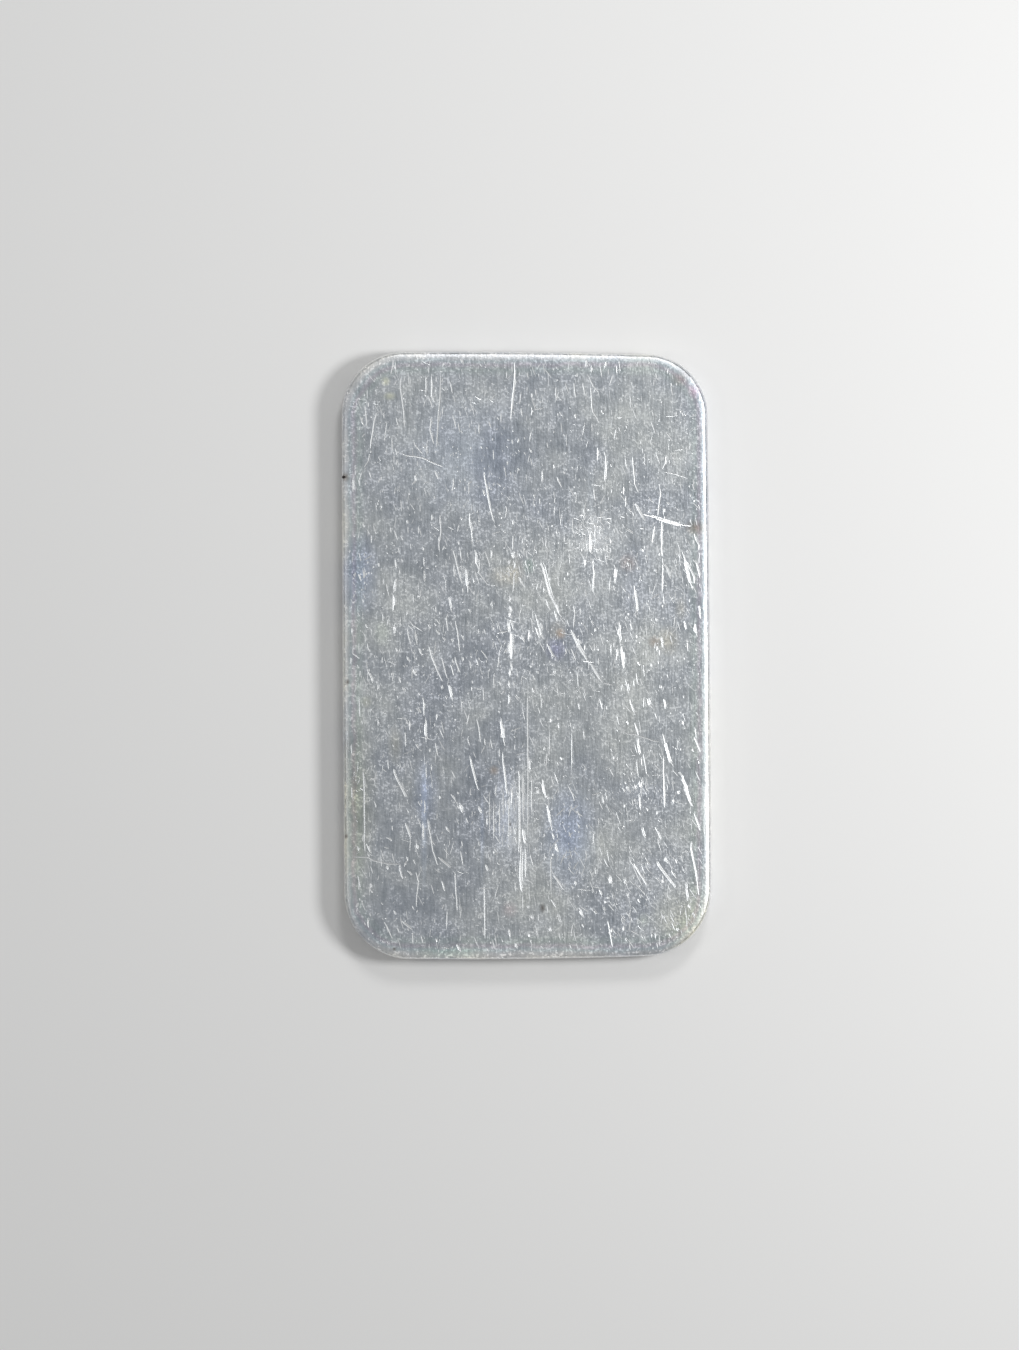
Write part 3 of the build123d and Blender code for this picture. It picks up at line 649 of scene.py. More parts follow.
LOWER_SCRATCHES = [
    (0.13, (-8.17, -5.0), (-8.17, -6.0), (-8.13, -7.15)),
    (0.1, (-11.97, -5.2), (-11.97, -5.7)),
    (0.08, (-5.75, -5.1), (-5.75, -5.3)),
    (0.11, (-9.42, -5.25), (-9.42, -6.1)),
    (0.05, (-9.83, -6.2), (-9.8, -6.65), (-9.8, -7.4)),
    (0.1, (-8.95, -7.15), (-8.7, -7.55)),
    (0.05, (-8.65, -7.6), (-8.5, -7.75)),
    (0.07, (-7.38, -7.05), (-7.32, -7.4), (-7.15, -8.2)),
    (0.07, (-14.2, -7.15), (-14.2, -7.55), (-14.15, -8.05)),
    (
        0.1,
        (-10.73, -9.15), (-10.67, -9.5), (-10.47, -10.0), (-10.15, -10.6), (-9.9, -11.1),
        (-9.77, -11.45),
    ),
    (
        0.05,
        (-13.25, -9.35), (-13.18, -10.1), (-13.15, -10.9), (-13.15, -11.7), (-13.15, -12.45),
        (-13.13, -13.3), (-13.12, -14.1), (-13.15, -15.0), (-13.08, -15.95),
    ),
    (0.06, (-14.2, -10.6), (-14.15, -11.1), (-14.2, -11.55)),
    (0.06, (-12.35, -11.75), (-12.2, -12.1), (-12.17, -12.35)),
    (0.06, (-8.15, -8.95), (-8.1, -10.0)),
    (0.06, (-8.27, -11.7), (-8.2, -12.3), (-8.27, -12.85)),
    (0.09, (-8.37, -13.4), (-8.35, -15.0)),
    (
        0.07,
        (-8.0, -13.2), (-7.92, -13.9), (-7.8, -14.4), (-7.7, -15.0), (-7.63, -15.5),
        (-7.57, -15.85), (-7.4, -16.3), (-7.3, -16.65), (-7.2, -17.0),
    ),
    (0.06, (-7.7, -8.8), (-7.67, -9.35)),
    (0.09, (-7.0, -11.3), (-7.0, -11.65)),
    (0.1, (-6.1, -11.2), (-5.87, -11.5), (-5.7, -11.75)),
    (0.09, (-5.55, -11.0), (-5.52, -11.25)),
    (0.13, (-5.43, -11.9), (-5.3, -12.2), (-5.15, -12.8)),
    (0.08, (-5.6, -12.1), (-5.37, -12.45)),
    (0.09, (-9.63, -12.5), (-9.5, -12.75)),
    (0.06, (-8.97, -12.9), (-8.95, -13.15)),
    (0.06, (-10.9, -13.75), (-10.85, -14.2)),
    (0.08, (-9.8, -13.5), (-9.65, -13.95), (-9.45, -14.5), (-9.35, -14.75)),
    (0.09, (-11.35, -14.7), (-11.05, -14.85), (-10.9, -15.0)),
    (0.09, (-6.5, -13.8), (-6.4, -14.05), (-6.2, -14.3)),
    (0.05, (-6.07, -9.3), (-5.75, -9.97)),
    (0.045, (-11.7, -9.15), (-11.3, -9.45)),
    (0.16, (-2.1, -5.0), (-1.97, -5.65), (-1.9, -6.3), (-1.85, -6.9), (-1.75, -7.35)),
    (
        0.08,
        (-1.9, -7.8), (-1.87, -8.6), (-1.78, -9.35), (-1.72, -9.85), (-1.62, -10.75),
        (-1.55, -11.25),
    ),
    (0.045, (-2.2, -7.5), (-2.2, -8.3)),
    (0.07, (-4.05, -5.1), (-3.87, -5.8), (-3.8, -6.4), (-3.73, -7.05)),
    (0.06, (-4.8, -6.65), (-4.6, -7.35)),
    (0.06, (-3.4, -6.7), (-3.33, -7.3)),
    (0.1, (-4.57, -8.05), (-4.43, -8.85), (-4.23, -9.6), (-4.05, -10.3), (-3.83, -10.95)),
    (0.13, (-3.93, -12.2), (-3.75, -12.5), (-3.6, -12.8)),
    (0.1, (-3.2, -13.15), (-3.17, -13.7)),
    (0.06, (-4.9, -13.1), (-4.7, -13.6)),
    (0.08, (-0.53, -8.3), (-0.45, -8.5)),
    (0.06, (-0.95, -7.2), (-0.92, -7.7)),
    (0.09, (0.15, -7.55), (0.17, -7.8)),
    (0.14, (0.2, -8.2), (0.23, -9.3)),
    (0.05, (0.1, -3.15), (0.1, -5.0), (0.15, -10.0), (0.12, -15.0)),
    (0.11, (-0.55, -9.35), (-0.53, -11.0), (-0.55, -12.5), (-0.53, -15.0), (-0.6, -16.0)),
    (0.1, (-0.3, -9.5), (-0.25, -10.7), (-0.25, -12.0), (-0.22, -12.8), (-0.18, -13.5)),
    (0.15, (-0.27, -14.0), (-0.2, -14.6), (-0.05, -15.3)),
    (0.08, (-1.03, -10.6), (-1.17, -11.1), (-1.15, -12.1)),
    (0.045, (-2.2, -11.7), (-2.2, -15.0)),
    (0.045, (-2.65, -12.0), (-2.65, -15.0)),
    (0.045, (-1.9, -10.8), (-1.9, -13.2)),
    (0.045, (-3.0, -11.0), (-3.0, -14.5)),
    (0.045, (-1.45, -11.5), (-1.42, -15.5)),
    (0.045, (0.45, -9.5), (0.42, -13.0)),
    (0.13, (2.0, -5.05), (2.0, -5.45)),
    (0.1, (2.6, -5.4), (2.63, -5.9)),
    (0.08, (2.57, -5.0), (2.57, -5.25)),
    (0.045, (1.85, -6.0), (1.85, -8.2)),
    (0.08, (1.5, -7.35), (1.45, -7.7)),
    (0.05, (1.65, -7.8), (1.63, -8.95)),
    (0.18, (2.8, -8.2), (2.9, -8.5)),
    (0.06, (3.57, -5.4), (3.6, -5.8)),
    (0.045, (3.67, -6.0), (3.67, -9.5)),
    (0.06, (4.63, -6.0), (4.67, -6.8)),
    (0.13, (1.28, -9.97), (1.33, -10.55), (1.43, -11.05), (1.55, -11.6)),
    (0.1, (1.63, -11.3), (1.83, -11.7)),
    (0.12, (0.9, -10.8), (0.93, -11.25)),
    (0.14, (1.47, -12.0), (1.67, -12.1), (1.8, -12.6), (1.87, -13.15), (2.0, -13.8), (2.1, -14.25)),
    (0.08, (2.1, -14.3), (2.27, -14.95)),
    (0.14, (2.33, -15.15), (2.43, -15.6), (2.55, -15.95)),
    (0.07, (2.6, -10.7), (2.27, -11.25)),
    (0.045, (2.25, -9.45), (2.6, -10.5)),
    (0.06, (3.35, -10.5), (3.75, -11.25), (3.87, -11.7)),
    (0.07, (4.1, -12.6), (4.3, -12.9)),
    (0.05, (4.2, -12.1), (3.6, -12.6)),
    (0.09, (1.45, -14.4), (1.45, -14.7)),
    (0.05, (4.2, -13.7), (4.35, -13.95)),
    (0.05, (4.85, -13.7), (4.95, -13.95)),
    (0.14, (8.2, -5.2), (8.2, -5.65)),
    (0.08, (8.8, -5.4), (8.9, -5.8), (9.07, -6.3), (9.1, -6.5)),
    (
        0.06,
        (7.8, -6.2), (8.3, -6.37), (8.85, -6.4), (9.1, -6.53), (9.7, -6.7), (10.2, -6.9),
        (10.75, -7.0),
    ),
    (0.12, (9.0, -6.65), (9.07, -7.3), (9.17, -7.8), (9.23, -8.05)),
    (0.07, (9.45, -7.95), (9.55, -8.45), (9.63, -8.95), (9.75, -9.7)),
    (0.05, (9.3, -8.2), (9.35, -9.0)),
    (0.06, (8.93, -8.45), (9.0, -9.2), (9.07, -9.85)),
    (0.17, (9.15, -10.1), (9.25, -10.5), (9.3, -10.75)),
    (0.08, (9.15, -11.1), (9.2, -11.9), (9.27, -12.5)),
    (0.07, (6.83, -7.55), (6.95, -7.85)),
    (0.1, (7.05, -8.15), (7.13, -8.45)),
    (
        0.15,
        (11.03, -6.3), (11.15, -6.65), (11.25, -7.15), (11.45, -7.85), (11.65, -8.55),
        (11.95, -9.0),
    ),
    (
        0.15,
        (12.3, -9.45), (12.6, -9.75), (12.7, -10.1), (12.95, -10.6), (13.07, -11.2),
        (13.25, -11.75), (13.55, -12.3),
    ),
    (0.1, (13.6, -12.7), (13.8, -13.3), (14.0, -13.8), (14.1, -14.2)),
    (0.1, (13.6, -6.6), (13.8, -7.0), (14.0, -7.5), (14.15, -7.85)),
    (0.1, (14.0, -8.5), (14.0, -8.8)),
    (0.08, (11.13, -8.1), (11.13, -9.5), (11.17, -10.75), (11.2, -11.7), (11.2, -12.3)),
    (0.14, (8.75, -10.4), (8.95, -10.87)),
    (0.14, (8.05, -10.55), (8.4, -11.05)),
    (0.09, (7.8, -10.7), (8.05, -11.1)),
    (0.06, (8.5, -9.4), (8.52, -9.7)),
    (0.05, (5.3, -11.3), (5.65, -11.2), (5.95, -11.1)),
    (0.09, (6.2, -11.25), (6.17, -11.6), (6.3, -12.05)),
    (0.05, (6.4, -11.05), (6.55, -11.75)),
    (0.09, (7.95, -12.0), (7.95, -12.35)),
    (0.13, (11.9, -11.55), (11.93, -12.0)),
    (0.18, (12.25, -10.95), (12.4, -11.25)),
    (0.11, (9.75, -12.3), (9.9, -12.65)),
    (0.1, (10.6, -12.55), (10.6, -12.9)),
    (0.06, (10.75, -13.15), (11.0, -13.35)),
    (0.12, (9.4, -13.85), (9.45, -14.2), (9.6, -14.6), (9.75, -14.8)),
    (0.11, (10.45, -13.85), (10.7, -14.3), (10.97, -14.95)),
    (0.05, (7.43, -13.85), (7.63, -14.2)),
    (0.08, (12.4, -14.75), (12.65, -14.78)),
    (0.05, (6.7, -9.1), (7.1, -9.85)),
    (0.06, (13.7, -9.4), (14.1, -10.25)),
]
TAIL_SCRATCHES = [
    (0.1, (-13.57, -15.5), (-13.57, -15.85)),
    (0.09, (-12.93, -15.2), (-12.8, -15.5), (-12.65, -15.87), (-12.5, -16.0)),
    (0.09, (-12.85, -16.0), (-12.7, -16.3)),
    (
        0.05,
        (-14.1, -16.3), (-12.8, -16.35), (-12.4, -16.6), (-11.9, -16.72), (-11.2, -16.88),
        (-10.2, -16.9),
    ),
    (0.09, (-10.22, -16.9), (-10.23, -17.35), (-10.12, -17.75), (-10.0, -18.1)),
    (0.1, (-9.7, -16.25), (-9.55, -16.65)),
    (0.1, (-9.6, -16.6), (-9.8, -16.85), (-9.85, -17.15)),
    (0.09, (-9.6, -17.4), (-9.45, -17.55), (-9.25, -17.8)),
    (0.06, (-9.2, -16.5), (-8.97, -16.95)),
    (0.14, (-8.93, -15.15), (-8.85, -15.45), (-8.77, -15.7)),
    (
        0.06,
        (-8.97, -17.5), (-8.8, -18.1), (-8.75, -18.3), (-8.83, -19.0), (-8.9, -19.5),
        (-8.93, -20.4),
    ),
    (0.11, (-7.1, -16.3), (-6.93, -16.5), (-6.5, -16.85), (-6.07, -17.2)),
    (0.06, (-7.4, -17.3), (-6.95, -17.6)),
    (0.06, (-5.25, -15.0), (-5.2, -15.4), (-5.35, -15.6)),
    (0.06, (-5.78, -17.5), (-5.75, -18.45), (-5.72, -19.15), (-5.65, -19.7), (-5.6, -20.75)),
    (0.08, (-6.83, -18.2), (-6.7, -18.75), (-6.57, -19.1)),
    (0.06, (-13.67, -17.75), (-13.53, -18.45), (-13.45, -18.8)),
    (0.11, (-12.58, -18.4), (-12.56, -18.85)),
    (0.08, (-12.8, -21.2), (-12.83, -21.65), (-12.75, -22.05)),
    (0.07, (-13.12, -21.6), (-13.0, -21.85)),
    (0.08, (-10.75, -20.6), (-10.55, -21.0)),
    (0.05, (-11.55, -21.55), (-11.3, -21.95), (-10.85, -23.0)),
    (0.11, (-10.03, -21.45), (-9.9, -21.65), (-9.57, -21.9), (-9.2, -22.2)),
    (0.05, (-9.25, -22.4), (-9.2, -23.4)),
    (0.07, (-6.68, -20.15), (-6.83, -20.55)),
    (0.045, (-6.42, -20.55), (-6.5, -22.2)),
    (0.06, (-9.25, -20.25), (-9.1, -20.6)),
    (0.045, (-7.4, -21.3), (-7.47, -21.65)),
    (0.07, (-9.7, -24.0), (-9.1, -24.2)),
    (0.08, (-8.75, -23.9), (-8.75, -24.2)),
    (0.08, (-7.1, -23.8), (-7.1, -24.2)),
    (0.13, (-5.63, -23.35), (-5.45, -23.75), (-5.27, -24.1)),
    (0.08, (-2.63, -15.8), (-2.6, -16.1)),
    (0.1, (-3.3, -16.9), (-3.2, -17.2), (-3.1, -17.45)),
    (
        0.2,
        (-0.4, -15.2), (-0.4, -16.0), (-0.43, -16.6), (-0.43, -17.2), (-0.45, -17.9),
        (-0.4, -18.5), (-0.3, -19.2),
    ),
    (0.08, (-0.05, -15.5), (-0.05, -17.0), (-0.03, -18.0)),
    (0.06, (-0.93, -18.4), (-0.85, -19.1)),
    (0.045, (-0.3, -19.3), (-0.3, -20.7)),
    (0.06, (0.4, -17.2), (0.8, -17.55)),
    (0.05, (0.03, -18.1), (0.5, -18.45)),
    (0.1, (2.15, -16.0), (2.17, -16.25)),
    (0.09, (2.2, -17.8), (2.53, -18.2), (2.9, -18.75), (3.07, -18.95)),
    (0.05, (1.98, -16.0), (2.0, -19.5)),
    (0.13, (3.97, -18.2), (3.97, -18.65)),
    (0.09, (2.0, -19.7), (2.27, -20.1), (2.43, -20.4)),
    (0.13, (0.07, -20.25), (0.23, -20.5)),
    (0.13, (0.4, -21.05), (0.6, -21.35)),
    (0.12, (2.6, -20.9), (2.53, -21.2)),
    (0.06, (2.55, -21.25), (2.8, -21.65)),
    (0.14, (4.27, -20.4), (4.4, -20.75), (4.57, -21.2)),
    (0.05, (0.97, -20.9), (0.97, -21.5)),
    (0.13, (1.87, -22.0), (1.97, -22.35)),
    (0.06, (0.75, -22.2), (0.9, -22.55)),
    (0.08, (-1.4, -22.1), (-1.37, -22.5), (-1.3, -22.85)),
    (0.13, (-0.95, -23.25), (-0.85, -23.5), (-0.73, -23.75)),
    (0.09, (-0.6, -23.87), (-0.4, -23.95)),
    (0.12, (-2.25, -19.9), (-2.13, -20.1)),
    (0.06, (-1.75, -19.3), (-2.0, -19.6)),
    (0.05, (-3.8, -18.85), (-3.0, -18.87)),
    (0.05, (-3.43, -18.6), (-3.4, -19.5), (-3.37, -21.4), (-3.35, -23.0)),
    (0.09, (-3.2, -23.7), (-3.05, -24.0)),
    (0.06, (1.15, -23.5), (1.45, -23.75)),
    (0.17, (6.78, -17.7), (6.75, -17.95), (6.83, -18.3), (6.93, -18.5)),
    (0.16, (7.87, -18.05), (8.0, -18.35), (8.2, -18.6)),
    (0.09, (5.9, -18.9), (6.03, -19.2), (6.15, -19.45)),
    (0.13, (6.53, -19.5), (6.7, -19.75)),
    (0.12, (6.37, -19.8), (6.43, -20.1)),
    (0.09, (8.7, -16.8), (8.95, -17.25), (9.2, -17.7), (9.45, -18.05), (9.8, -18.65)),
    (0.045, (8.6, -16.95), (8.95, -17.75), (9.4, -18.7)),
    (0.045, (9.6, -16.3), (9.85, -16.75)),
    (0.045, (9.7, -17.1), (9.97, -17.55)),
    (
        0.14,
        (10.55, -16.65), (10.75, -17.0), (11.0, -17.35), (11.3, -17.75), (11.65, -18.2),
        (11.95, -18.65), (12.1, -18.85),
    ),
    (0.15, (11.25, -16.3), (11.3, -16.6), (11.5, -16.9)),
    (0.1, (11.75, -17.35), (11.95, -17.7), (12.2, -18.05)),
    (0.11, (12.1, -16.45), (12.25, -16.85)),
    (0.14, (10.95, -18.1), (11.1, -18.45)),
    (0.12, (12.97, -18.3), (13.0, -19.0), (13.07, -19.5), (13.1, -19.9)),
    (0.16, (13.1, -20.15), (13.25, -20.5)),
    (
        0.09,
        (13.4, -15.0), (13.35, -15.6), (13.55, -16.6), (13.75, -17.55), (13.87, -18.3),
        (13.95, -18.95), (14.0, -19.4),
    ),
    (0.06, (8.1, -19.2), (8.3, -19.7)),
    (0.15, (12.15, -22.05), (12.35, -22.35)),
    (0.07, (13.0, -21.3), (13.0, -22.0)),
    (0.1, (8.0, -22.85), (8.2, -23.15)),
    (0.08, (6.6, -21.45), (6.7, -21.9), (6.8, -22.5), (6.9, -23.0), (7.0, -23.6)),
    (0.08, (10.15, -22.5), (10.15, -22.85)),
    (0.09, (10.45, -22.35), (10.5, -22.95)),
    (0.06, (10.55, -23.2), (10.65, -23.8)),
    (0.06, (8.35, -23.3), (8.45, -24.0)),
    (0.045, (6.5, -15.6), (6.7, -16.8)),
    (0.045, (11.6, -20.9), (12.0, -21.7)),
    (0.05, (5.57, -17.1), (5.6, -17.7)),
]
SCRATCHES = HEAD_SCRATCHES + UPPER_SCRATCHES + MIDDLE_SCRATCHES + LOWER_SCRATCHES + TAIL_SCRATCHES

# The strands that a wide scratch is made of
STRAND_HALF_WIDTH = 0.05
STRONG_HALF_WIDTH = 0.115

# Small pits, read off, in millimetres
HEAD_PITS = [
    (-9.5, 23.5), (-9.93, 21.2), (-9.92, 20.8), (-6.2, 23.65), (-7.35, 16.5), (-12.6, 16.5),
    (-5.95, 16.9), (-5.7, 16.4), (-5.55, 16.05), (-5.35, 16.3), (-5.25, 18.1), (-13.1, 21.1),
    (-14.0, 20.4), (-13.3, 19.15), (-13.3, 18.85), (-13.5, 18.4), (-13.85, 15.2), (-10.45, 17.9),
    (-2.4, 24.2), (-2.05, 24.15), (-0.82, 24.1), (-1.75, 23.3), (-1.1, 18.2), (-2.3, 19.2),
    (-0.35, 19.45), (-0.8, 20.4), (0.2, 20.3), (0.3, 19.15), (1.1, 19.55), (2.55, 19.5),
    (1.8, 18.75), (2.8, 20.7), (1.5, 22.4), (2.5, 22.3), (2.2, 23.15), (4.0, 22.65),
    (-0.6, 16.55), (-2.75, 17.5), (-3.2, 16.8), (-4.5, 16.8), (-3.65, 16.85), (-1.55, 16.9),
    (3.2, 16.4), (3.6, 16.5), (0.6, 15.4), (1.3, 15.4), (3.75, 15.2), (4.4, 15.2),
    (-0.65, 15.1), (-1.75, 15.1), (12.5, 17.5), (12.45, 15.95), (12.85, 19.5), (8.8, 20.25),
    (9.8, 20.25), (7.85, 21.05), (7.55, 20.7), (7.75, 20.7), (8.5, 22.05), (8.2, 19.05),
    (8.1, 18.5), (6.9, 18.0), (9.95, 23.7), (10.95, 20.5), (9.6, 15.5), (11.75, 21.95),
    (6.85, 15.4), (1.9, 24.0), (2.8, 24.2), (3.0, 24.1), (3.45, 24.2), (3.7, 24.15), (4.2, 24.2),
]
UPPER_PITS = [
    (-10.66, 13.2), (-9.5, 13.1), (-8.9, 13.47), (-7.45, 12.8), (-13.7, 12.45), (-12.04, 12.3),
    (-11.75, 12.05), (-6.1, 12.2), (-9.05, 11.6), (-7.67, 10.6), (-12.2, 9.95), (-13.95, 9.65),
    (-7.76, 9.93), (-7.1, 9.0), (-10.7, 8.9), (-10.57, 8.37), (-7.25, 8.1), (-5.3, 7.2),
    (-10.1, 7.75), (-8.85, 7.55), (-8.46, 7.1), (-12.85, 7.55), (-12.95, 6.6), (-12.77, 6.68),
    (-12.55, 6.68), (-13.1, 5.9), (-14.0, 6.25), (-9.75, 5.3), (-3.0, 13.6), (-2.85, 13.45),
    (-2.0, 13.1), (-1.3, 12.25), (-2.13, 11.5), (-2.0, 11.15), (-4.78, 10.15), (-3.85, 10.9),
    (-0.5, 9.6), (-0.1, 9.45), (0.05, 9.3), (0.15, 9.75), (-0.15, 8.6), (-1.55, 8.5), (-1.8, 8.7),
    (-2.6, 8.85), (-2.03, 6.9), (0.23, 7.35), (0.1, 6.4), (0.7, 8.55), (0.8, 8.35), (0.35, 14.4),
    (0.93, 13.47), (0.6, 12.95), (3.87, 13.63), (3.95, 13.13), (4.75, 14.2), (1.63, 10.25),
    (2.27, 9.07), (3.87, 9.27), (4.7, 8.8), (3.85, 7.9), (3.27, 5.25), (8.35, 14.05), (9.1, 13.9),
    (10.65, 14.4), (9.55, 14.5), (12.6, 14.5), (12.0, 13.9), (13.2, 13.7), (10.25, 12.45),
    (6.95, 12.1), (7.55, 11.7), (6.4, 11.8), (7.63, 11.1), (8.85, 7.6), (9.0, 7.05), (9.7, 8.1),
    (9.45, 8.5), (8.5, 5.6), (9.05, 5.6), (9.3, 6.1), (10.0, 5.3), (13.3, 12.95), (13.6, 12.5),
    (13.95, 12.5), (13.8, 11.85),
]
MIDDLE_PITS = [
    (-13.97, 4.3), (-8.05, 4.6), (-7.87, 4.1), (-7.3, 2.9), (-7.38, 2.5), (-7.03, 3.45),
    (-6.55, 1.85), (-5.08, 0.75), (-7.05, 0.4), (-13.0, 1.27), (-12.1, -0.1), (-11.0, -0.25),
    (-10.97, -0.85), (-10.9, -1.5), (-9.9, -0.87), (-8.75, -0.75), (-8.37, -0.85), (-8.3, -1.57),
    (-7.75, -1.55), (-13.8, -1.7), (-9.65, -2.2), (-10.67, -2.75), (-10.45, -3.3), (-6.5, -3.4),
    (-6.68, -4.02), (-6.0, -4.1), (-5.15, -3.77), (-7.65, -3.1), (-12.57, -4.37), (-9.35, -4.45),
    (3.27, 4.4), (3.27, 4.07), (4.25, 2.65), (4.47, 2.6), (3.33, 2.1), (4.2, 1.55), (2.9, 1.85),
    (2.37, 1.7), (2.37, 1.33), (2.05, 2.1), (2.37, -0.37), (1.87, -0.5), (0.9, 1.05), (0.33, 0.15),
    (0.13, 0.63), (0.83, 0.1), (3.45, -1.15), (3.57, -1.4), (4.1, -1.0), (3.8, -0.25),
    (1.43, -0.73), (3.33, -4.1), (3.5, -3.3), (-0.97, -2.3), (-1.8, -1.95), (-1.87, -2.95),
    (-3.0, -1.17), (-4.47, -0.1), (-4.7, -3.05), (-4.55, -3.6), (-2.1, -3.75), (1.5, -2.5),
    (-3.1, 4.9), (7.77, 4.7), (11.8, 4.6), (8.05, 3.53), (8.25, 3.35), (8.9, 1.2), (9.18, 1.05),
    (10.15, 2.9), (11.8, 3.15), (11.1, 3.0), (5.85, 2.2), (5.3, 1.73), (7.45, -0.75),
    (7.45, -1.45), (6.2, -1.7), (5.7, 0.73), (5.83, 0.47), (6.5, -1.1), (8.4, -2.4), (7.1, -2.15),
    (7.77, -3.13), (7.9, -4.25), (9.5, -0.85), (9.53, -1.25), (9.47, 0.13), (10.65, 0.98),
    (9.93, -1.2), (11.93, -0.15), (12.25, -0.42), (12.8, -0.25), (13.1, -0.45), (13.6, -0.75),
    (13.75, 0.47), (12.75, -3.35), (11.7, -4.67), (12.2, -2.1), (13.95, -1.5), (12.5, -4.6),
    (12.7, -4.8),
]
LOWER_PITS = [
    (-11.15, -5.65), (-9.13, -6.85), (-9.22, -8.15), (-7.27, -6.37), (-5.98, -6.9), (-10.8, -7.3),
    (-13.0, -7.7), (-13.7, -7.97), (-9.65, -11.7), (-8.6, -11.3), (-10.9, -13.4), (-9.1, -14.35),
    (-12.35, -14.3), (-6.83, -14.35), (-5.85, -11.9), (-5.45, -8.4), (-4.5, -11.25),
    (-4.17, -12.7), (-0.95, -6.6), (0.43, -8.6), (-1.22, -9.17), (-0.82, -14.05), (1.67, -6.7),
    (1.1, -8.3), (3.83, -5.83), (2.08, -11.45), (2.05, -10.6), (2.07, -12.45), (0.67, -11.7),
    (0.7, -12.6), (4.75, -9.2), (3.87, -11.7), (9.2, -5.9), (7.35, -6.05), (7.25, -6.8),
    (7.55, -6.9), (7.37, -8.35), (10.07, -7.7), (11.9, -7.4), (12.1, -7.55), (12.5, -7.6),
    (12.4, -5.3), (12.85, -5.87), (11.8, -6.1), (10.77, -9.7), (7.65, -10.4), (8.63, -10.15),
    (6.0, -11.1), (6.43, -10.93), (5.07, -10.9), (8.75, -11.7), (9.9, -11.6), (7.65, -13.75),
    (7.9, -13.85), (6.93, -14.85), (13.3, -12.7), (7.75, -12.8),
]
TAIL_PITS = [
    (-9.8, -17.95), (-9.0, -15.85), (-8.37, -15.5), (-8.85, -20.7), (-12.5, -19.1),
    (-13.5, -19.75), (-13.3, -19.9), (-13.15, -19.45), (-12.65, -21.0), (-12.45, -22.5),
    (-11.7, -20.1), (-9.57, -22.2), (-2.5, -15.8), (-3.9, -16.5), (-1.65, -17.8), (-1.15, -17.6),
    (0.07, -15.8), (0.97, -16.15), (0.15, -16.95), (2.05, -16.4), (1.57, -16.35), (3.73, -18.75),
    (4.2, -19.47), (4.85, -20.3), (2.25, -22.4), (0.55, -22.4), (0.87, -22.55), (-0.12, -22.5),
    (-2.47, -19.9), (-4.75, -18.45), (-1.77, -21.1), (-3.85, -21.2), (-0.5, -20.4), (-0.45, -21.6),
    (-4.75, -24.2), (-0.45, -24.2), (-0.1, -24.2), (1.87, -23.15), (-2.9, -23.25), (5.8, -19.8),
    (7.3, -20.13), (9.33, -16.95), (13.5, -18.4), (9.35, -19.47), (9.72, -19.77), (8.25, -16.8),
    (8.05, -17.2), (8.7, -18.0), (12.15, -22.8), (13.2, -21.05), (13.45, -20.9), (8.15, -22.3),
    (7.2, -22.8), (10.05, -23.4), (10.25, -23.7), (5.4, -23.3), (5.15, -22.1), (6.0, -22.15),
    (6.53, -24.0), (9.4, -22.8), (8.7, -22.7), (6.2, -21.2), (7.9, -21.15),
]
PITS = HEAD_PITS + UPPER_PITS + MIDDLE_PITS + LOWER_PITS + TAIL_PITS
BIG_PITS = [
    (-4.3, 24.0), (3.97, 19.4), (6.15, 19.7), (4.65, 11.25), (8.25, 7.4), (10.8, 8.2),
    (-12.97, 2.4), (0.55, -2.8), (9.8, 4.17), (11.05, 4.0), (7.8, -2.45), (9.1, -0.65),
    (-7.83, -7.67), (13.5, -7.65), (12.7, -5.45), (8.03, -10.3), (9.2, -12.8), (-11.25, -17.15),
    (-13.7, -20.2), (-7.27, -23.05), (-2.7, -17.6), (4.57, -21.85), (0.23, -22.65), (5.57, -20.8),
    (13.4, -15.6), (9.1, -19.85), (7.87, -22.1), (6.9, -22.25),
]

# Brighter, dulled areas read off: (x, y, reach across, reach along, strength)
HAZES = [
    (4.3, 6.2, 8.0, 4.5, 0.5),
    (5.3, 9.9, 2.6, 2.9, 1.0),
    (-0.9, -12.4, 3.0, 4.6, 0.9),
    (-0.7, -15.5, 1.8, 6.0, 0.8),
    (10.5, -19.0, 6.5, 6.5, 0.4),
    (9.5, 4.0, 5.5, 9.0, 0.4),
    (-1.2, 1.0, 2.5, 5.5, 0.4),
    (14.4, -12.4, 0.8, 2.4, 0.8),
    (13.6, 17.0, 1.8, 6.0, 0.4),
    (12.8, -21.0, 3.5, 4.0, 0.6),
    (0.0, -24.4, 14.0, 1.3, 0.7),
    (3.0, 24.3, 11.0, 1.4, 0.6),
]

# Calmer, darker areas read off: (x, y, reach across, reach along, strength)
CALMS = [
    (-8.5, -17.0, 6.5, 7.5, 0.6),
    (-5.5, -8.5, 5.0, 5.5, 0.5),
    (0.5, 16.5, 7.5, 4.0, 0.5),
    (-9.5, 10.0, 5.0, 5.5, 0.3),
    (5.5, -8.0, 3.5, 4.5, 0.4),
    (5.5, -22.5, 4.0, 2.5, 0.3),
]
